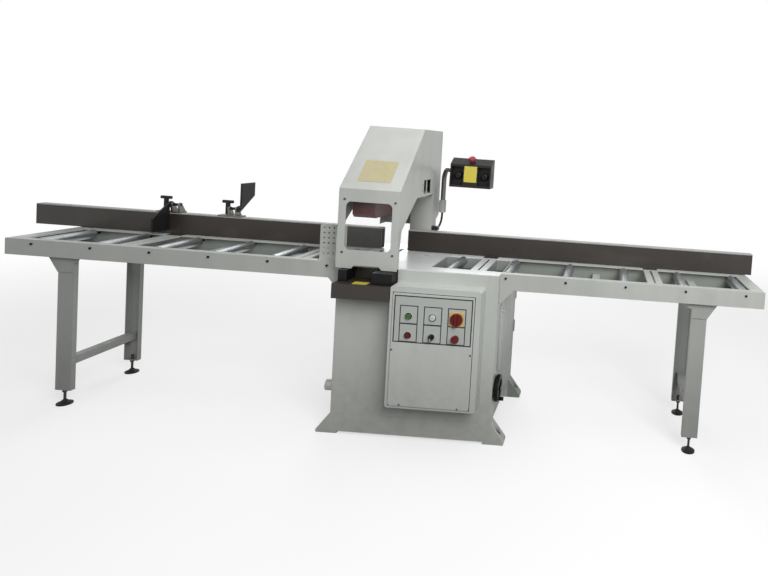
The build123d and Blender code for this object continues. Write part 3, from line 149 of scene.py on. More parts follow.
bpy.ops.object.select_all(action="DESELECT")
floor_size = 120
floor_drop = 0.0006
bpy.ops.mesh.primitive_plane_add(size=floor_size, location=(0, 0, -floor_drop))
studio_floor = bpy.context.object
studio_floor.name = "studio_floor"
floor_matter = bpy.data.materials.new("pale_floor")
floor_matter.use_nodes = True
floor_recipe = Recipe(floor_matter.node_tree)
floor_shader = floor_matter.node_tree.nodes["Principled BSDF"]
floor_place = floor_recipe.node("ShaderNodeTexCoord", out="Object")
floor_far = floor_recipe.node(
    "ShaderNodeVectorMath", {"operation": "LENGTH"}, {0: floor_place}, out="Value"
)
fade_start, fade_end = 2.6, 6.0
floor_fade = floor_recipe.band(floor_far, fade_start, fade_end)
floor_shown, floor_bounce = (0.93, 0.93, 0.93, 1), (0.2, 0.2, 0.2, 1)
floor_tone = floor_recipe.mix(floor_recipe.seen(), floor_bounce, floor_shown)
floor_recipe.put(floor_shader.inputs["Base Color"], floor_tone)
floor_recipe.put(floor_shader.inputs["Roughness"], 0.95)
floor_recipe.put(floor_shader.inputs["Specular IOR Level"], 0.0)
floor_air = floor_recipe.node("ShaderNodeEmission", {}, {"Color": (1, 1, 1, 1), "Strength": 1.0})
near_white = 0.6
floor_white = (near_white + (1 - near_white) * floor_fade) * floor_recipe.seen()
floor_mix = floor_recipe.node(
    "ShaderNodeMixShader", {},
    {0: floor_white, 1: Field(floor_recipe, floor_shader.outputs[0]), 2: floor_air},
)
floor_recipe.put(floor_matter.node_tree.nodes["Material Output"].inputs["Surface"], floor_mix)
studio_floor.data.materials.append(floor_matter)

air = bpy.data.worlds.new("studio_air")
air.use_nodes = True
bpy.context.scene.world = air
air_recipe = Recipe(air.node_tree)
air_light = air.node_tree.nodes["Background"]
air_recipe.put(air_light.inputs["Color"], (1.0, 1.0, 1.0, 1.0))
air_glow = 0.24
air_recipe.put(air_light.inputs["Strength"], air_glow + (1 - air_glow) * air_recipe.seen())

for lamp_name, lamp_place, lamp_target, lamp_size, lamp_power in (
    ("key_light", (2.2, -3.4, 3.2), (0.0, 0.0, 0.95), 2.4, 160.0),
    ("top_light", (0.2, -0.3, 4.2), (0.1, 0.0, 0.8), 3.0, 44.0),
    ("left_fill", (-3.6, -2.6, 2.4), (-1.0, 0.0, 0.8), 2.4, 5.0),
    ("rear_fill", (-1.2, 4.2, 2.6), (0.0, 0.0, 0.8), 3.0, 90.0),
):
    bpy.ops.object.light_add(type="AREA", location=lamp_place)
    lamp = bpy.context.object
    lamp.name = lamp_name
    lamp.data.energy = lamp_power
    lamp.data.size = lamp_size
    lamp_way = Vector(lamp_target) - Vector(lamp_place)
    lamp.rotation_euler = lamp_way.to_track_quat("-Z", "Y").to_euler()

bpy.ops.object.camera_add(location=(0.863, -2.947, 1.498))
camera = bpy.context.object
camera.rotation_euler = [math.radians(angle) for angle in (87.495, -4.039, 0.724)]
camera.data.lens = 25.564
camera.data.shift_x = -0.276
camera.data.shift_y = -0.1482
bpy.context.scene.camera = camera


# Cabinet, its foot beams and the side door. Folded and welded steel sheet, 4 and 5 mm thick,
# sprayed with one pale grey machine enamel, which is darkened and greened low on the right side as
# painted shade and a painted reflection of a dark floor; the door hangs on two welded hinges.
class Finish(Recipe):
    """A surface finish on Object coordinates, ending in a Principled shader."""

    def __init__(self, name):
        self.material = bpy.data.materials.new(name)
        self.material.use_nodes = True
        super().__init__(self.material.node_tree)
        self.shader = self.tree.nodes["Principled BSDF"]
        self.place = self.node("ShaderNodeTexCoord", out="Object")
        axes = self.node("ShaderNodeSeparateXYZ", {}, {0: self.place})
        self.x, self.y, self.z = self.outputs(axes)

    def noise(self, scale, detail=3, stretch=(1, 1, 1)):
        """Cloudy noise about 0.5, drawn out along an axis whose stretch is below 1."""
        place = self.node("ShaderNodeMapping", {}, {"Vector": self.place, "Scale": stretch})
        grain = {"Vector": place, "Scale": scale, "Detail": detail}
        return self.node("ShaderNodeTexNoise", {}, grain)

    def rounded(self, width):
        """The surface normal with the edges rounded over this width."""
        return self.node("ShaderNodeBevel", {"samples": 6}, {"Radius": width})

    def edges(self, soft):
        """1 along edges and 0 on flat faces, from a rounded normal."""
        flat = self.node("ShaderNodeNewGeometry", out="Normal")
        agree = self.node(
            "ShaderNodeVectorMath", {"operation": "DOT_PRODUCT"}, {0: soft, 1: flat}, out="Value"
        )
        return self.band(agree, 0.985, 0.8)

    def relief(self, height, depth, soft):
        """The rounded normal, bumped by a height field of this depth."""
        bump = {"Distance": depth, "Height": height, "Normal": soft}
        return self.node("ShaderNodeBump", {}, bump)

    def inside(self, axis, middle, half):
        """1 within half of the middle along one axis."""
        return abs(axis - middle) < half

    def between(self, axis, low, high):
        """1 between two places along one axis."""
        return self.inside(axis, (low + high) / 2, (high - low) / 2)

    def shade(self, sockets):
        """Set inputs of the shader."""
        for name, value in sockets.items():
            self.put(self.shader.inputs[name], value)

    def patch(self, tone, share, colour):
        """Put a colour over the tone, by its share, and make that the base colour."""
        tone = self.mix(share, tone, colour)
        self.shade({"Base Color": tone})
        return tone

    def coat(self, *pieces):
        """Put the finish on solids, by name, or on new pieces."""
        for piece in pieces:
            if isinstance(piece, str):
                piece = solids[piece]
            if not piece.material_slots:
                piece.data.materials.append(self.material)
            for slot in piece.material_slots:
                slot.material = self.material


def darker(colour, share):
    """The colour with this share of its light."""
    return tuple(part * share for part in colour[:3]) + (1.0,)


def enamel(finish, colour, gloss=0.42, peel=0.00007):
    """Sprayed enamel: drifting tone, orange peel, rubbed edges, dust low down, and painted shade
    darkening it towards the floor.
    """
    drift = finish.noise(1.2, 3)
    runs = finish.noise(11, 4, (1, 1, 0.1))
    stain = finish.band(finish.noise(6, 6), 0.56, 0.78)
    soft = finish.rounded(0.0022)
    rub = finish.edges(soft) * finish.band(finish.noise(42, 4), 0.42, 0.66)
    low = finish.band(finish.z, 0.55, 0.0)
    dust = low * finish.band(finish.noise(28, 5), 0.3, 0.8)
    clouds = finish.band(drift * 0.6 + runs * 0.4, 0.36, 0.64)
    tone = finish.mix(clouds, colour, darker(colour, 0.88))
    tone = finish.mix(stain * 0.1, tone, srgb(122, 116, 104))
    # Painted shade: the enamel darkens towards the floor, where less light reaches.
    tone = finish.mix(low * 0.42, tone, darker(colour, 0.45))
    tone = finish.mix(dust * 0.2, tone, srgb(112, 107, 97))
    tone = finish.mix(rub * 0.5, tone, srgb(98, 97, 93))
    finish.shade({
        "Base Color": tone,
        "Roughness": gloss + (runs - 0.5) * 0.16 + stain * 0.1 + dust * 0.22 - rub * 0.1,
        "Normal": finish.relief(finish.noise(240, 2), peel, soft),
    })
    return tone


machine_grey = srgb(190, 193, 188)
cabinet_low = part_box("cabinet_shell")[0]
cabinet_side = -cabinet_low.x
cabinet_front = cabinet_low.y
cabinet_paint = Finish("cabinet_enamel")
cabinet_tone = enamel(cabinet_paint, machine_grey)
# Painted shade: the lower right side is darkened to a greenish grey, as a dark floor would shade
# it.
shade_top, shade_full = 0.66, 0.3
painted_side_shade = (
    cabinet_paint.band(cabinet_paint.x, cabinet_side - 0.004, cabinet_side - 0.0015)
    * cabinet_paint.band(cabinet_paint.y, cabinet_front, cabinet_front + 0.18)
    * cabinet_paint.band(cabinet_paint.z, shade_top, shade_full)
)
cabinet_paint.patch(cabinet_tone, painted_side_shade * 0.62, srgb(78, 86, 78))
cabinet_paint.coat("cabinet_shell", "foot_beams", "side_door")


# Door latch and the handwheel that sets the feed. The latch is a chromed quarter-turn with a
# raised grip; the wheel is black moulded plastic on a steel shaft, with a turning crank grip.
def plain_metal(finish, colour, gloss, grain=(1, 1, 1), scale=160, depth=0.00003):
    """Bare or plated metal: fine drawn grain, dull smudges and bright rubbed edges."""
    lines = finish.noise(scale, 4, grain)
    smudge = finish.band(finish.noise(13, 5), 0.48, 0.72)
    soft = finish.rounded(0.0012)
    tone = finish.mix(lines, colour, darker(colour, 0.8))
    tone = finish.mix(smudge * 0.22, tone, darker(colour, 0.6))
    finish.shade({
        "Base Color": tone,
        "Metallic": 1.0,
        "Roughness": gloss + (lines - 0.5) * 0.14 + smudge * 0.1 - finish.edges(soft) * 0.08,
        "Normal": finish.relief(lines, depth, soft),
    })
    return tone


def moulded(finish, colour, gloss=0.4, grain=520, depth=0.00004):
    """Moulded plastic or crackle paint: fine grain, worn pale at the edges, a film of dust."""
    pores = finish.noise(grain, 2)
    film = finish.band(finish.noise(18, 5), 0.4, 0.75)
    soft = finish.rounded(0.0012)
    rub = finish.edges(soft) * finish.band(finish.noise(90, 3), 0.4, 0.65)
    pale = tuple(part * 1.4 + 0.006 for part in colour[:3]) + (1.0,)
    tone = finish.mix(film * 0.3, colour, pale)
    tone = finish.mix(rub * 0.5, tone, pale)
    finish.shade({
        "Base Color": tone,
        "Roughness": gloss + (pores - 0.5) * 0.14 + film * 0.12 - rub * 0.08,
        "Specular IOR Level": 0.22,
        "Normal": finish.relief(pores, depth, soft),
    })
    return tone


latch_chrome = Finish("latch_chrome")
plain_metal(latch_chrome, srgb(196, 198, 200), 0.24)
latch_chrome.coat("door_latch")
wheel_plastic = Finish("handwheel_plastic")
wheel_tone = moulded(wheel_plastic, srgb(9, 9, 10), 0.36)
wheel_steel = wheel_plastic.x < cabinet_side + 0.0004
wheel_plastic.patch(wheel_tone, wheel_steel, srgb(170, 170, 168))
wheel_plastic.shade({"Metallic": wheel_steel, "Specular IOR Level": 0.1})
wheel_plastic.coat("handwheel")


# Drive inside the cabinet: cast swing arm, flange motor, belt and the saw's arbor, raised by an
# air cylinder. Castings are grey primed iron, the turned pieces bare steel, the barrels aluminium.
cast_iron = Finish("primed_casting")
enamel(cast_iron, srgb(112, 118, 120), 0.55, 0.0003)
cast_iron.coat("swing_arm")
motor_paint = Finish("motor_paint")
enamel(motor_paint, srgb(84, 100, 116), 0.45, 0.0002)
motor_paint.coat("motor")
turned_steel = Finish("turned_steel")
plain_metal(turned_steel, srgb(176, 176, 174), 0.3, (0.05, 1, 1))
turned_steel.coat("arbor", "motor_pulley", "lift_rod")
blade_steel = Finish("ground_blade_steel")
plain_metal(blade_steel, srgb(190, 190, 188), 0.26, (1, 0.4, 0.4), 220)
blade_steel.coat("saw_blade")
barrel_metal = Finish("anodised_barrel")
plain_metal(barrel_metal, srgb(186, 188, 190), 0.34, (1, 1, 0.05))
barrel_metal.coat("air_cylinders")
belt_rubber = Finish("belt_rubber")
moulded(belt_rubber, srgb(34, 34, 35), 0.7, 300, 0.0001)
belt_rubber.coat("drive_belt")


# Top plate of the cabinet: one thick steel plate with folded collars under the roller openings,
# painted pale and rubbed bright by the work, the collars darkened as painted shade, and a maroon
# throat plate screwed on beside the blade slot.
table_low, table_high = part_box("left_table_frame")
table_top = table_high.z
plate_paint = Finish("table_plate_enamel")
plate_tone = enamel(plate_paint, srgb(218, 221, 220), 0.3, 0.00003)
plate_streaks = plate_paint.band(plate_paint.noise(5, 6, (0.25, 1, 1)), 0.5, 0.72)
plate_wear = plate_streaks * (plate_paint.z > table_top - 0.0005)
plate_tone = plate_paint.patch(plate_tone, plate_wear * 0.35, srgb(186, 188, 188))
# Painted shade under the top: the collars take a darker grey-green.
collar_shade = plate_paint.z < table_top - 0.0065
plate_tone = plate_paint.patch(plate_tone, collar_shade * 0.8, srgb(120, 126, 121))
throat_left, throat_right = -0.3405, -0.2595
throat_mask = plate_paint.between(plate_paint.x, throat_left, throat_right)
throat_mask = throat_mask * (plate_paint.z > table_top + 0.0002)
throat_tone = plate_paint.mix(plate_paint.noise(30, 5), srgb(104, 54, 50), srgb(84, 44, 42))
plate_paint.patch(plate_tone, throat_mask, throat_tone)
plate_paint.coat("top_plate")


# Roller tables left and right: folded channels welded into frames, with slotted bars across for
# the fence feet and low ties, in the cabinet's enamel with painted shade, darkest in the channels.
table_paint = Finish("table_enamel")
# Painted shade: the table enamel is the machine grey at 0.94 of its light.
table_tone = enamel(table_paint, darker(machine_grey, 0.94), 0.4)
channel_front, channel_rear = table_low.y + 0.041, table_high.y - 0.001
# Painted shade inside the channels, but not on the bars across.
table_inside_shade = table_paint.between(table_paint.y, channel_front, channel_rear)
table_inside_shade = table_inside_shade * (table_paint.z < table_top - 0.0015)
bars_front, bars_rear, bars_low = -0.212, 0.118, 0.7725
table_bars = table_paint.between(table_paint.y, bars_front, bars_rear) * (table_paint.z > bars_low)
table_inside_shade = table_inside_shade * (1.0 - table_bars)
table_tone = table_paint.patch(table_tone, table_inside_shade * 0.8, srgb(126, 132, 126))
table_streaks = table_paint.band(table_paint.noise(26, 5, (0.3, 1, 1)), 0.54, 0.7)
table_scuff = table_streaks * (table_paint.z > table_top - 0.0005)
table_paint.patch(table_tone, table_scuff * 0.5, srgb(150, 150, 147))
table_paint.coat("left_table_frame", "right_table_frame")


# Rollers and their bolts. The rollers are zinc-plated steel tubes, free on blackened bolts whose
# hexagon heads show as dark dots along the front rails.
roller_zinc = Finish("roller_zinc")
plain_metal(roller_zinc, srgb(170, 173, 175), 0.4, (1, 0.02, 1), 60, 0.000008)
for side in ("left", "right"):
    roller_zinc.coat(*(f"{side}_roller_{number}" for number in range(1, 7)))
axle_black = Finish("blackened_bolts")
plain_metal(axle_black, srgb(44, 44, 46), 0.45)
axle_black.coat("roller_axles")


# Leg frames and levelling feet. The legs are channels folded from sheet, open to each other, with
# welded shoes and a brace, in the enamel, dusty low down and darkened as painted shade; the feet
# are black pads on blackened stems with a lock nut.
leg_paint = Finish("leg_enamel")
# Painted shade: the legs' enamel is the machine grey at 0.7 of its light.
enamel(leg_paint, darker(machine_grey, 0.7), 0.48)
leg_paint.coat("leg_frames")
foot_pad = Finish("levelling_pads")
pad_tone = moulded(foot_pad, srgb(22, 22, 23), 0.55)
pad_top = 0.0225
stem_mask = foot_pad.z > pad_top
foot_pad.patch(pad_tone, stem_mask, srgb(62, 62, 62))
foot_pad.shade({"Metallic": stem_mask})
foot_pad.coat("levelling_feet")


# Fences: rectangular steel tubes in dark brown enamel on flat feet, each with a pale anodised
# aluminium track along its top for the flip stops, dull from use.
fence_paint = Finish("fence_enamel")
fence_tone = enamel(fence_paint, srgb(46, 40, 36), 0.42, 0.00006)
fence_rub = fence_paint.band(fence_paint.noise(8, 6, (0.2, 1, 1)), 0.52, 0.74)
fence_paint.patch(fence_tone, fence_rub * 0.35, srgb(76, 69, 64))
fence_paint.coat("fences")
track_metal = Finish("track_aluminium")
plain_metal(track_metal, srgb(176, 178, 175), 0.62, (0.03, 1, 1))
track_metal.shade({"Metallic": 0.0, "Specular IOR Level": 0.2})
track_metal.coat("fence_tracks")


# Flip stops: zinc-plated carriages clamped on the track, black flags that swing on a pin with a
# blackened sleeve, and black tee knobs on the clamp studs.
stop_zinc = Finish("stop_zinc")
stop_tone = plain_metal(stop_zinc, srgb(122, 121, 114), 0.4, (0.2, 1, 1))
ear_radius, sleeve_radius = 0.012, 0.0084
carriage_low, carriage_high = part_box("stop_carriage_1")
off_y = stop_zinc.y - (carriage_low.y + ear_radius)
off_z = stop_zinc.z - (carriage_high.z - ear_radius)
sleeve_mask = off_y * off_y + off_z * off_z < sleeve_radius ** 2
stop_zinc.patch(stop_tone, sleeve_mask, srgb(40, 40, 41))
stop_zinc.coat("stop_carriage_1", "stop_carriage_2")
flag_paint = Finish("flag_paint")
moulded(flag_paint, srgb(26, 26, 27), 0.42, 260, 0.00006)
flag_paint.coat("stop_flag_1", "stop_flag_2")
knob_plastic = Finish("tee_knob_plastic")
moulded(knob_plastic, srgb(20, 20, 21), 0.38)
knob_plastic.coat("stop_knob_1", "stop_knob_2")


# Hood with its window and the perforated wing guard. Folded sheet in the pale enamel, darkened
# inside and at the left of its column as painted shade; four socket screws hold the clear pane, and
# a plain pale label sits on the slope.
hood_paint = Finish("hood_enamel")
hood_tone = enamel(hood_paint, machine_grey, 0.4)
hood_low, hood_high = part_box("hood_shell")
hood_front_height = 0.38
slope_shift = table_top + hood_front_height - hood_low.y
skin = 0.0015
# Painted shade: the inside of the hood is darkened, and the column's face darkens towards its left.
hood_inside_shade = (
    hood_paint.between(hood_paint.x, hood_low.x + skin, hood_high.x - skin)
    * hood_paint.between(hood_paint.y, hood_low.y + skin, hood_high.y - skin)
    * (hood_paint.z - hood_paint.y < slope_shift - skin * math.sqrt(2))
    * (hood_paint.z < hood_high.z - skin)
)
column_left, column_front, column_top = -0.2245, 0.185, 1.195
column_face = (
    (hood_paint.x > column_left) * (hood_paint.y > column_front) * (hood_paint.z < column_top)
)
hood_inside_shade = hood_inside_shade * (1.0 - column_face * hood_paint.band(hood_paint.x, -0.25, -0.08))
hood_paint.patch(hood_tone, hood_inside_shade * 0.7, srgb(92, 90, 86))
hood_paint.coat("hood_shell", "wing_guard")
pane_clear = Finish("clear_pane")
pane_haze = pane_clear.band(pane_clear.noise(9, 6), 0.45, 0.8)
pane_scratch = pane_clear.band(pane_clear.noise(70, 3, (1, 1, 0.06)), 0.62, 0.72)
pane_clear.shade({
    "Base Color": (0.5, 0.53, 0.53, 1),
    "Roughness": 0.05 + pane_haze * 0.12 + pane_scratch * 0.2,
    "Alpha": 0.03 + pane_haze * 0.03 + pane_scratch * 0.04,
    "Normal": pane_clear.relief(pane_scratch, 0.00002, pane_clear.rounded(0.0005)),
})
pane_clear.coat("hood_window")


def pick(kind, test):
    """In edit mode, select only the faces or edges whose middle and direction pass the test."""
    bpy.ops.mesh.select_mode(type="FACE" if kind == "faces" else "EDGE")
    bpy.ops.mesh.select_all(action="DESELECT")
    mesh = bpy.context.object.data
    form = bmesh.from_edit_mesh(mesh)
    for part in getattr(form, kind):
        middle = sum((corner.co for corner in part.verts), Vector()) / len(part.verts)
        way = part.normal if kind == "faces" else (part.verts[1].co - part.verts[0].co).normalized()
        part.select_set(bool(test(middle, way)))
    form.select_flush_mode()
    bmesh.update_edit_mesh(mesh)


def copies(model, name, places, turn, body, finish):
    """Copies of a modelled piece, each with its own mesh, set at these places; the model goes."""
    for number, place in enumerate(places, 1):
        piece = model.copy()
        piece.data = model.data.copy()
        piece.name = f"{name}_{number}"
        piece.data.transform(Matrix.Translation(place) @ turn)
        bpy.context.scene.collection.objects.link(piece)
        finish.coat(piece)
        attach(piece, body)
    bpy.data.objects.remove(model)


def socket_screw(radius, height):
    """A round screw head with a hexagon socket, its seat at z = 0."""
    bpy.ops.object.select_all(action="DESELECT")
    bpy.ops.mesh.primitive_cylinder_add(
        vertices=6, radius=radius, depth=height, location=(0, 0, height / 2)
    )
    bpy.ops.object.transform_apply(location=True, rotation=False, scale=False)
    bpy.ops.object.mode_set(mode="EDIT")
    pick("faces", lambda middle, way: way.z > 0.9)
    bpy.ops.mesh.inset(thickness=radius * 0.42)
    bpy.ops.mesh.extrude_region_move(TRANSFORM_OT_translate={"value": (0, 0, -height * 0.6)})
    reach = radius * 0.8
    pick("edges", lambda middle, way: abs(way.z) > 0.9 and middle.xy.length > reach)
    bpy.ops.mesh.bevel(offset=radius * 0.46, segments=5)
    pick("edges", lambda middle, way: middle.z > height * 0.99 and middle.xy.length > reach)
    bpy.ops.mesh.bevel(offset=height * 0.3, segments=2)
    bpy.ops.mesh.select_all(action="SELECT")
    bpy.ops.mesh.normals_make_consistent(inside=False)
    bpy.ops.object.mode_set(mode="OBJECT")
    bpy.ops.object.shade_smooth_by_angle(angle=math.radians(35))
    return bpy.context.object


screw_steel = Finish("screw_steel")
plain_metal(screw_steel, srgb(96, 96, 98), 0.38)
to_front = Matrix.Rotation(math.radians(90), 4, "X")
window_corners = ((-0.371, 1.177), (-0.122, 1.173), (-0.373, 0.917), (-0.125, 0.914))
copies(
    socket_screw(radius=0.0065, height=0.004), "window_screw",
    [(x, hood_low.y, z) for x, z in window_corners], to_front, "machine", screw_steel,
)


label_thickness = 0.0004


def label_sheet(name, width, height, corner):
    """A thin sheet with rounded corners, its back at z = 0 and its face up."""
    bpy.ops.object.select_all(action="DESELECT")
    bpy.ops.mesh.primitive_plane_add(size=1, location=(0, 0, 0))
    sheet = bpy.context.object
    sheet.name = name
    bpy.ops.object.mode_set(mode="EDIT")
    bpy.ops.mesh.select_all(action="SELECT")
    bpy.ops.transform.resize(value=(width, height, 1))
    bpy.ops.mesh.bevel(offset=corner, segments=4, affect="VERTICES")
    bpy.ops.mesh.select_all(action="SELECT")
    bpy.ops.mesh.extrude_region_move(TRANSFORM_OT_translate={"value": (0, 0, label_thickness)})
    bpy.ops.mesh.select_all(action="SELECT")
    bpy.ops.mesh.normals_make_consistent(inside=False)
    bpy.ops.object.mode_set(mode="OBJECT")
    return sheet


def label_print(finish, colour):
    """Printed film: sun-bleached patches, soiled rim and a faint mottled gloss."""
    bleach = finish.band(finish.noise(16, 4), 0.35, 0.7)
    soil = finish.band(finish.noise(45, 5), 0.5, 0.75)
    soft = finish.rounded(0.0004)
    pale = tuple(part * 0.8 + 0.12 for part in colour[:3]) + (1.0,)
    tone = finish.mix(bleach * 0.4, colour, pale)
    tone = finish.mix(soil * 0.1 + finish.edges(soft) * 0.2, tone, darker(colour, 0.5))
    finish.shade({
        "Base Color": tone,
        "Roughness": 0.4 + soil * 0.2 - bleach * 0.06,
        "Normal": finish.relief(finish.noise(380, 2), 0.00003, soft),
    })


slope_film = Finish("slope_label_film")
label_print(slope_film, srgb(180, 171, 132))
slope_label = label_sheet("slope_label", width=0.168, height=0.144, corner=0.006)
slope_label_x, slope_label_y = -0.249, -0.234
slope_label_place = (slope_label_x, slope_label_y, slope_label_y + slope_shift + 0.0005)
slope_label.data.transform(
    Matrix.Translation(slope_label_place) @ Matrix.Rotation(math.radians(45), 4, "X")
)
slope_film.coat(slope_label)
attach(slope_label, "machine")


# Hold-down in the hood: a maroon painted steel block on a chromed piston rod, kept square by two
# guide rods through the bridge.
clamp_paint = Finish("clamp_maroon")
clamp_tone = enamel(clamp_paint, srgb(114, 49, 39), 0.4)
block_height = 0.088
rod_mask = clamp_paint.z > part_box("clamp_block")[0].z + block_height + 0.0005
clamp_paint.patch(clamp_tone, rod_mask, srgb(205, 206, 208))
clamp_paint.shade({"Metallic": rod_mask})
clamp_paint.coat("clamp_block")


# Start tray and valve boxes under the hood: a folded shelf in dark brown enamel that carries two
# black housings, with a plain yellow label stuck on the shelf between them.
tray_paint = Finish("tray_enamel")
enamel(tray_paint, srgb(46, 40, 36), 0.42)
tray_paint.coat("start_tray")
valve_plastic = Finish("valve_box_plastic")
moulded(valve_plastic, srgb(9, 9, 10), 0.36)
valve_plastic.coat("valve_boxes")
yellow_film = Finish("yellow_label_film")
label_print(yellow_film, srgb(206, 190, 62))
tray_label = label_sheet("tray_label", width=0.072, height=0.045, corner=0.003)
tray_label_place = (-0.254, -0.362, 0.781)
tray_label.data.transform(Matrix.Translation(tray_label_place))
yellow_film.coat(tray_label)
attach(tray_label, "machine")


# Electric box on the cabinet's front: a welded sheet box with a screwed cover, both enamelled, and
# a dark line round the cover, painted shade of the gap between them. A pale film with black frames
# lies under the controls; the main switch sits on a yellow plate.
def middle_of(name):
    """The middle of a solid's box."""
    low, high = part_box(name)
    return (low + high) / 2


def line_frame(finish, face, left, right, low, high, line):
    """1 on the lines of a rectangle on a front face."""
    out_x = abs(finish.x - (left + right) / 2) - (right - left) / 2
    out_z = abs(finish.z - (low + high) / 2) - (high - low) / 2
    return (abs(out_x.larger(out_z)) < line / 2) * finish.inside(finish.y, face, 0.0006)


cover_low, cover_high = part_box("control_cover")
cover_thickness = 0.004
cover_face = cover_high.y - cover_thickness
gap_edge, gap_line = 0.001, 0.004
box_paint = Finish("electric_box_enamel")
box_tone = enamel(box_paint, srgb(194, 198, 193), 0.4)
# Painted shade: a dark line on the box just round the cover.
cover_gap_shade = line_frame(
    box_paint, cover_high.y, cover_low.x - gap_edge, cover_high.x + gap_edge,
    cover_low.z - gap_edge, cover_high.z + gap_edge, gap_line,
)
box_paint.patch(box_tone, cover_gap_shade, srgb(58, 60, 60))
box_paint.coat("control_box")
cover_paint = Finish("cover_enamel")
cover_tone = enamel(cover_paint, srgb(196, 199, 194), 0.38)
panel_left, panel_right, panel_low, panel_high = -0.069, 0.3, 0.526, 0.747
panel_film = (
    cover_paint.between(cover_paint.x, panel_left, panel_right)
    * cover_paint.between(cover_paint.z, panel_low, panel_high)
    * (cover_paint.y < cover_face + 0.0004)
)
cover_tone = cover_paint.patch(cover_tone, panel_film, srgb(180, 184, 180))
panel_line, cell_line = 0.0058, 0.0048
cover_lines = line_frame(
    cover_paint, cover_face, panel_left, panel_right, panel_low, panel_high, panel_line
)
left_column, middle_column, right_column = (
    middle_of(name).x for name in ("green_button", "selector_knob", "main_switch")
)
upper_row, lower_row = middle_of("green_button").z, middle_of("red_button").z
cell_half, cell_height, cell_lows = 0.0415, 0.085, (0.529, 0.616)
for column in (left_column, middle_column, right_column):
    for low in cell_lows:
        cell = line_frame(
            cover_paint, cover_face, column - cell_half, column + cell_half,
            low, low + cell_height, cell_line,
        )
        cover_lines = cover_lines.larger(cell)
cover_tone = cover_paint.patch(cover_tone, cover_lines, srgb(16, 17, 17))
switch_half = 0.0345
switch_yellow = (
    (cover_paint.y < cover_face - 0.0004)
    * cover_paint.inside(cover_paint.x, right_column, switch_half)
    * cover_paint.inside(cover_paint.z, upper_row, switch_half)
)
cover_tone = cover_paint.patch(cover_tone, switch_yellow, srgb(206, 176, 104))
lamp_radius = 0.016
lamp_white = cover_paint.inside(cover_paint.x, middle_column, lamp_radius)
lamp_white = lamp_white * (cover_paint.y < cover_face - 0.0032)
cover_paint.patch(cover_tone, lamp_white, srgb(194, 196, 198))
cover_paint.coat("control_cover")
cover_corners = ((-0.074, 0.485), (0.303, 0.483), (-0.024, 0.22), (0.254, 0.218))
copies(
    socket_screw(radius=0.0052, height=0.003), "cover_screw",
    [(x, cover_face, z) for x, z in cover_corners], to_front, "machine", screw_steel,
)


# Controls on the cover: moulded push buttons in dark bezels, a black selector with a white pointer,
# a red mushroom button and the red rotary main switch.
def bezel_ring(inner, outer, height):
    """A turned ring with a chamfered rim, its seat at z = 0."""
    bpy.ops.object.select_all(action="DESELECT")
    bpy.ops.mesh.primitive_circle_add(
        vertices=40, radius=outer, fill_type="NGON", location=(0, 0, 0)
    )
    bpy.ops.object.mode_set(mode="EDIT")
    bpy.ops.mesh.select_all(action="SELECT")
    bpy.ops.mesh.inset(thickness=outer - inner)
    bpy.ops.mesh.delete(type="FACE")
    bpy.ops.mesh.select_all(action="SELECT")
    bpy.ops.mesh.extrude_region_move(TRANSFORM_OT_translate={"value": (0, 0, height)})
    bpy.ops.mesh.select_all(action="SELECT")
    bpy.ops.mesh.normals_make_consistent(inside=False)
    pick(
        "edges",
        lambda middle, way: middle.z > height * 0.9 and abs(way.dot(middle.normalized())) < 0.3,
    )
    bpy.ops.mesh.bevel(offset=height * 0.35, segments=2)
    bpy.ops.object.mode_set(mode="OBJECT")
    bpy.ops.object.shade_smooth_by_angle(angle=math.radians(35))
    return bpy.context.object


bezel_chrome = Finish("bezel_black_chrome")
plain_metal(bezel_chrome, srgb(58, 59, 60), 0.26)
seat_height = 0.003
bezel_seat = cover_face - seat_height
button_places = [
    (left_column, bezel_seat, upper_row),
    (left_column, bezel_seat, lower_row),
    (right_column, bezel_seat, lower_row),
]
lamp_places = [(middle_column, bezel_seat, upper_row)]
for name, inner, outer, places in (
    ("button_bezel", 0.0137, 0.0166, button_places),
    ("lamp_bezel", 0.0144, 0.0172, lamp_places),
):
    bezel = bezel_ring(inner, outer, height=0.0016)
    copies(bezel, name, places, to_front, "machine", bezel_chrome)
for name, finish_name, colour in (
    ("green_button", "green_button_plastic", srgb(62, 104, 48)),
    ("red_button", "red_button_plastic", srgb(92, 24, 22)),
    ("stop_button", "stop_button_plastic", srgb(98, 25, 24)),
    ("main_switch", "switch_plastic", srgb(98, 23, 21)),
):
    control_plastic = Finish(finish_name)
    moulded(control_plastic, colour, 0.3)
    control_plastic.coat(name)
selector_plastic = Finish("selector_plastic")
selector_tone = moulded(selector_plastic, srgb(20, 20, 21), 0.3)
pointer_half = 0.0014
pointer = selector_plastic.inside(selector_plastic.x, middle_column, pointer_half)
pointer = pointer * (selector_plastic.z < lower_row - 0.002)
selector_plastic.patch(selector_tone, pointer, srgb(226, 226, 222))
selector_plastic.coat("selector_knob")


# Dust port on the left side: a short galvanised spout welded to a square flange.
# A suction hose is pushed over it and held by a clip.
spout_zinc = Finish("spout_zinc")
crystal = spout_zinc.node(
    "ShaderNodeTexVoronoi", {}, {"Vector": spout_zinc.place, "Scale": 90.0}, out="Color"
)
spangle = spout_zinc.outputs(spout_zinc.node("ShaderNodeSeparateColor", {}, {0: crystal}))[0]
spangle_tone = spout_zinc.mix(spangle, srgb(172, 173, 171), srgb(150, 152, 151))
plain_metal(spout_zinc, srgb(168, 169, 167), 0.42, (0.2, 1, 1))
spout_zinc.shade({"Base Color": spangle_tone, "Metallic": 0.55})
spout_zinc.coat("dust_port")


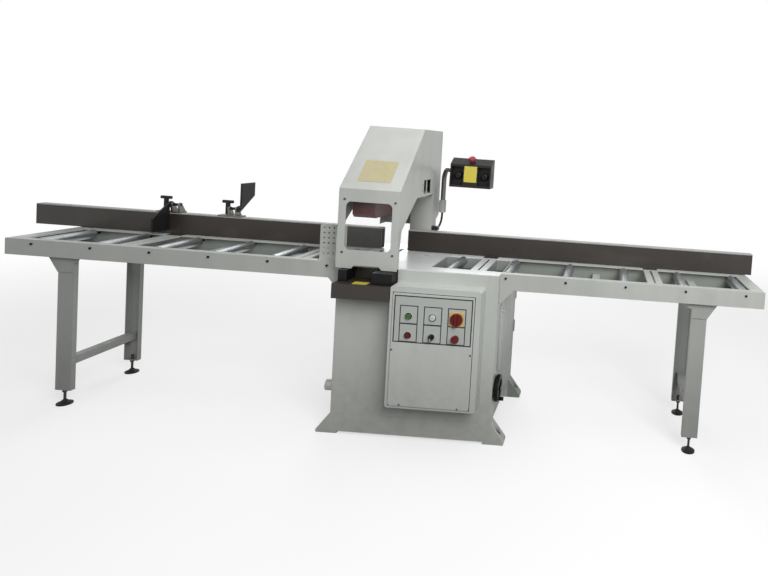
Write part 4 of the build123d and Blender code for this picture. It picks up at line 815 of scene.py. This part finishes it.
# Pendant: a socket welded to the hood's column, a chromed bent tube that swivels in it and the
# two-hand station, a folded black sheet housing with palm buttons in two recesses.
socket_paint = Finish("socket_enamel")
socket_tone = enamel(socket_paint, machine_grey, 0.4)
gland_top = 1.03
socket_paint.patch(socket_tone, socket_paint.z < gland_top, srgb(30, 30, 31))
socket_paint.coat("pendant_socket")
tube_chrome = Finish("pendant_tube_chrome")
plain_metal(tube_chrome, srgb(118, 114, 110), 0.28, (1, 1, 0.05))
tube_chrome.coat("pendant_arm")
station_paint = Finish("station_crackle_paint")
moulded(station_paint, srgb(34, 32, 31), 0.42, 340, 0.00012)
station_paint.coat("pendant_station")
palm_plastic = Finish("palm_button_plastic")
moulded(palm_plastic, srgb(14, 14, 15), 0.32)
palm_plastic.coat("left_palm_button", "right_palm_button")
estop_plastic = Finish("emergency_stop_plastic")
moulded(estop_plastic, srgb(152, 56, 60), 0.34)
estop_plastic.coat("emergency_stop")
station_label = label_sheet("station_label", width=0.068, height=0.086, corner=0.002)
station_label_place = (0.165, -0.0413, 1.322)
station_lean = math.atan2(0.008, 0.123)
station_label.data.transform(
    Matrix.Translation(station_label_place)
    @ Matrix.Rotation(math.radians(90) - station_lean, 4, "X")
)
yellow_film.coat(station_label)
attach(station_label, "pendant")


# Pendant cable: black round cable, 12 mm thick, that drops from the socket and loops into the
# entry block on the column.
cable_line = bpy.data.curves.new("pendant_cable_line", "CURVE")
cable_line.dimensions = "3D"
cable_line.bevel_depth = 0.006
cable_line.bevel_resolution = 5
cable_line.use_fill_caps = True
cable_points = [
    (-0.072, 0.3, 1.0636), (-0.072, 0.3, 1.036), (-0.073, 0.2905, 1.0103),
    (-0.075, 0.273, 0.9907), (-0.076, 0.25, 0.98), (-0.076, 0.2254, 0.98),
]
cable_spline = cable_line.splines.new("NURBS")
cable_spline.points.add(len(cable_points) - 1)
for point, place in zip(cable_spline.points, cable_points):
    point.co = (*place, 1.0)
cable_spline.order_u = 3
cable_spline.use_endpoint_u = True
cable_spline.resolution_u = 16
cable = bpy.data.objects.new("cable_loop", cable_line)
bpy.context.scene.collection.objects.link(cable)
cable_rubber = Finish("cable_rubber")
moulded(cable_rubber, srgb(30, 30, 31), 0.5, 400, 0.00005)
cable_rubber.coat(cable)
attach(cable, "machine")
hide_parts("pendant_cable")
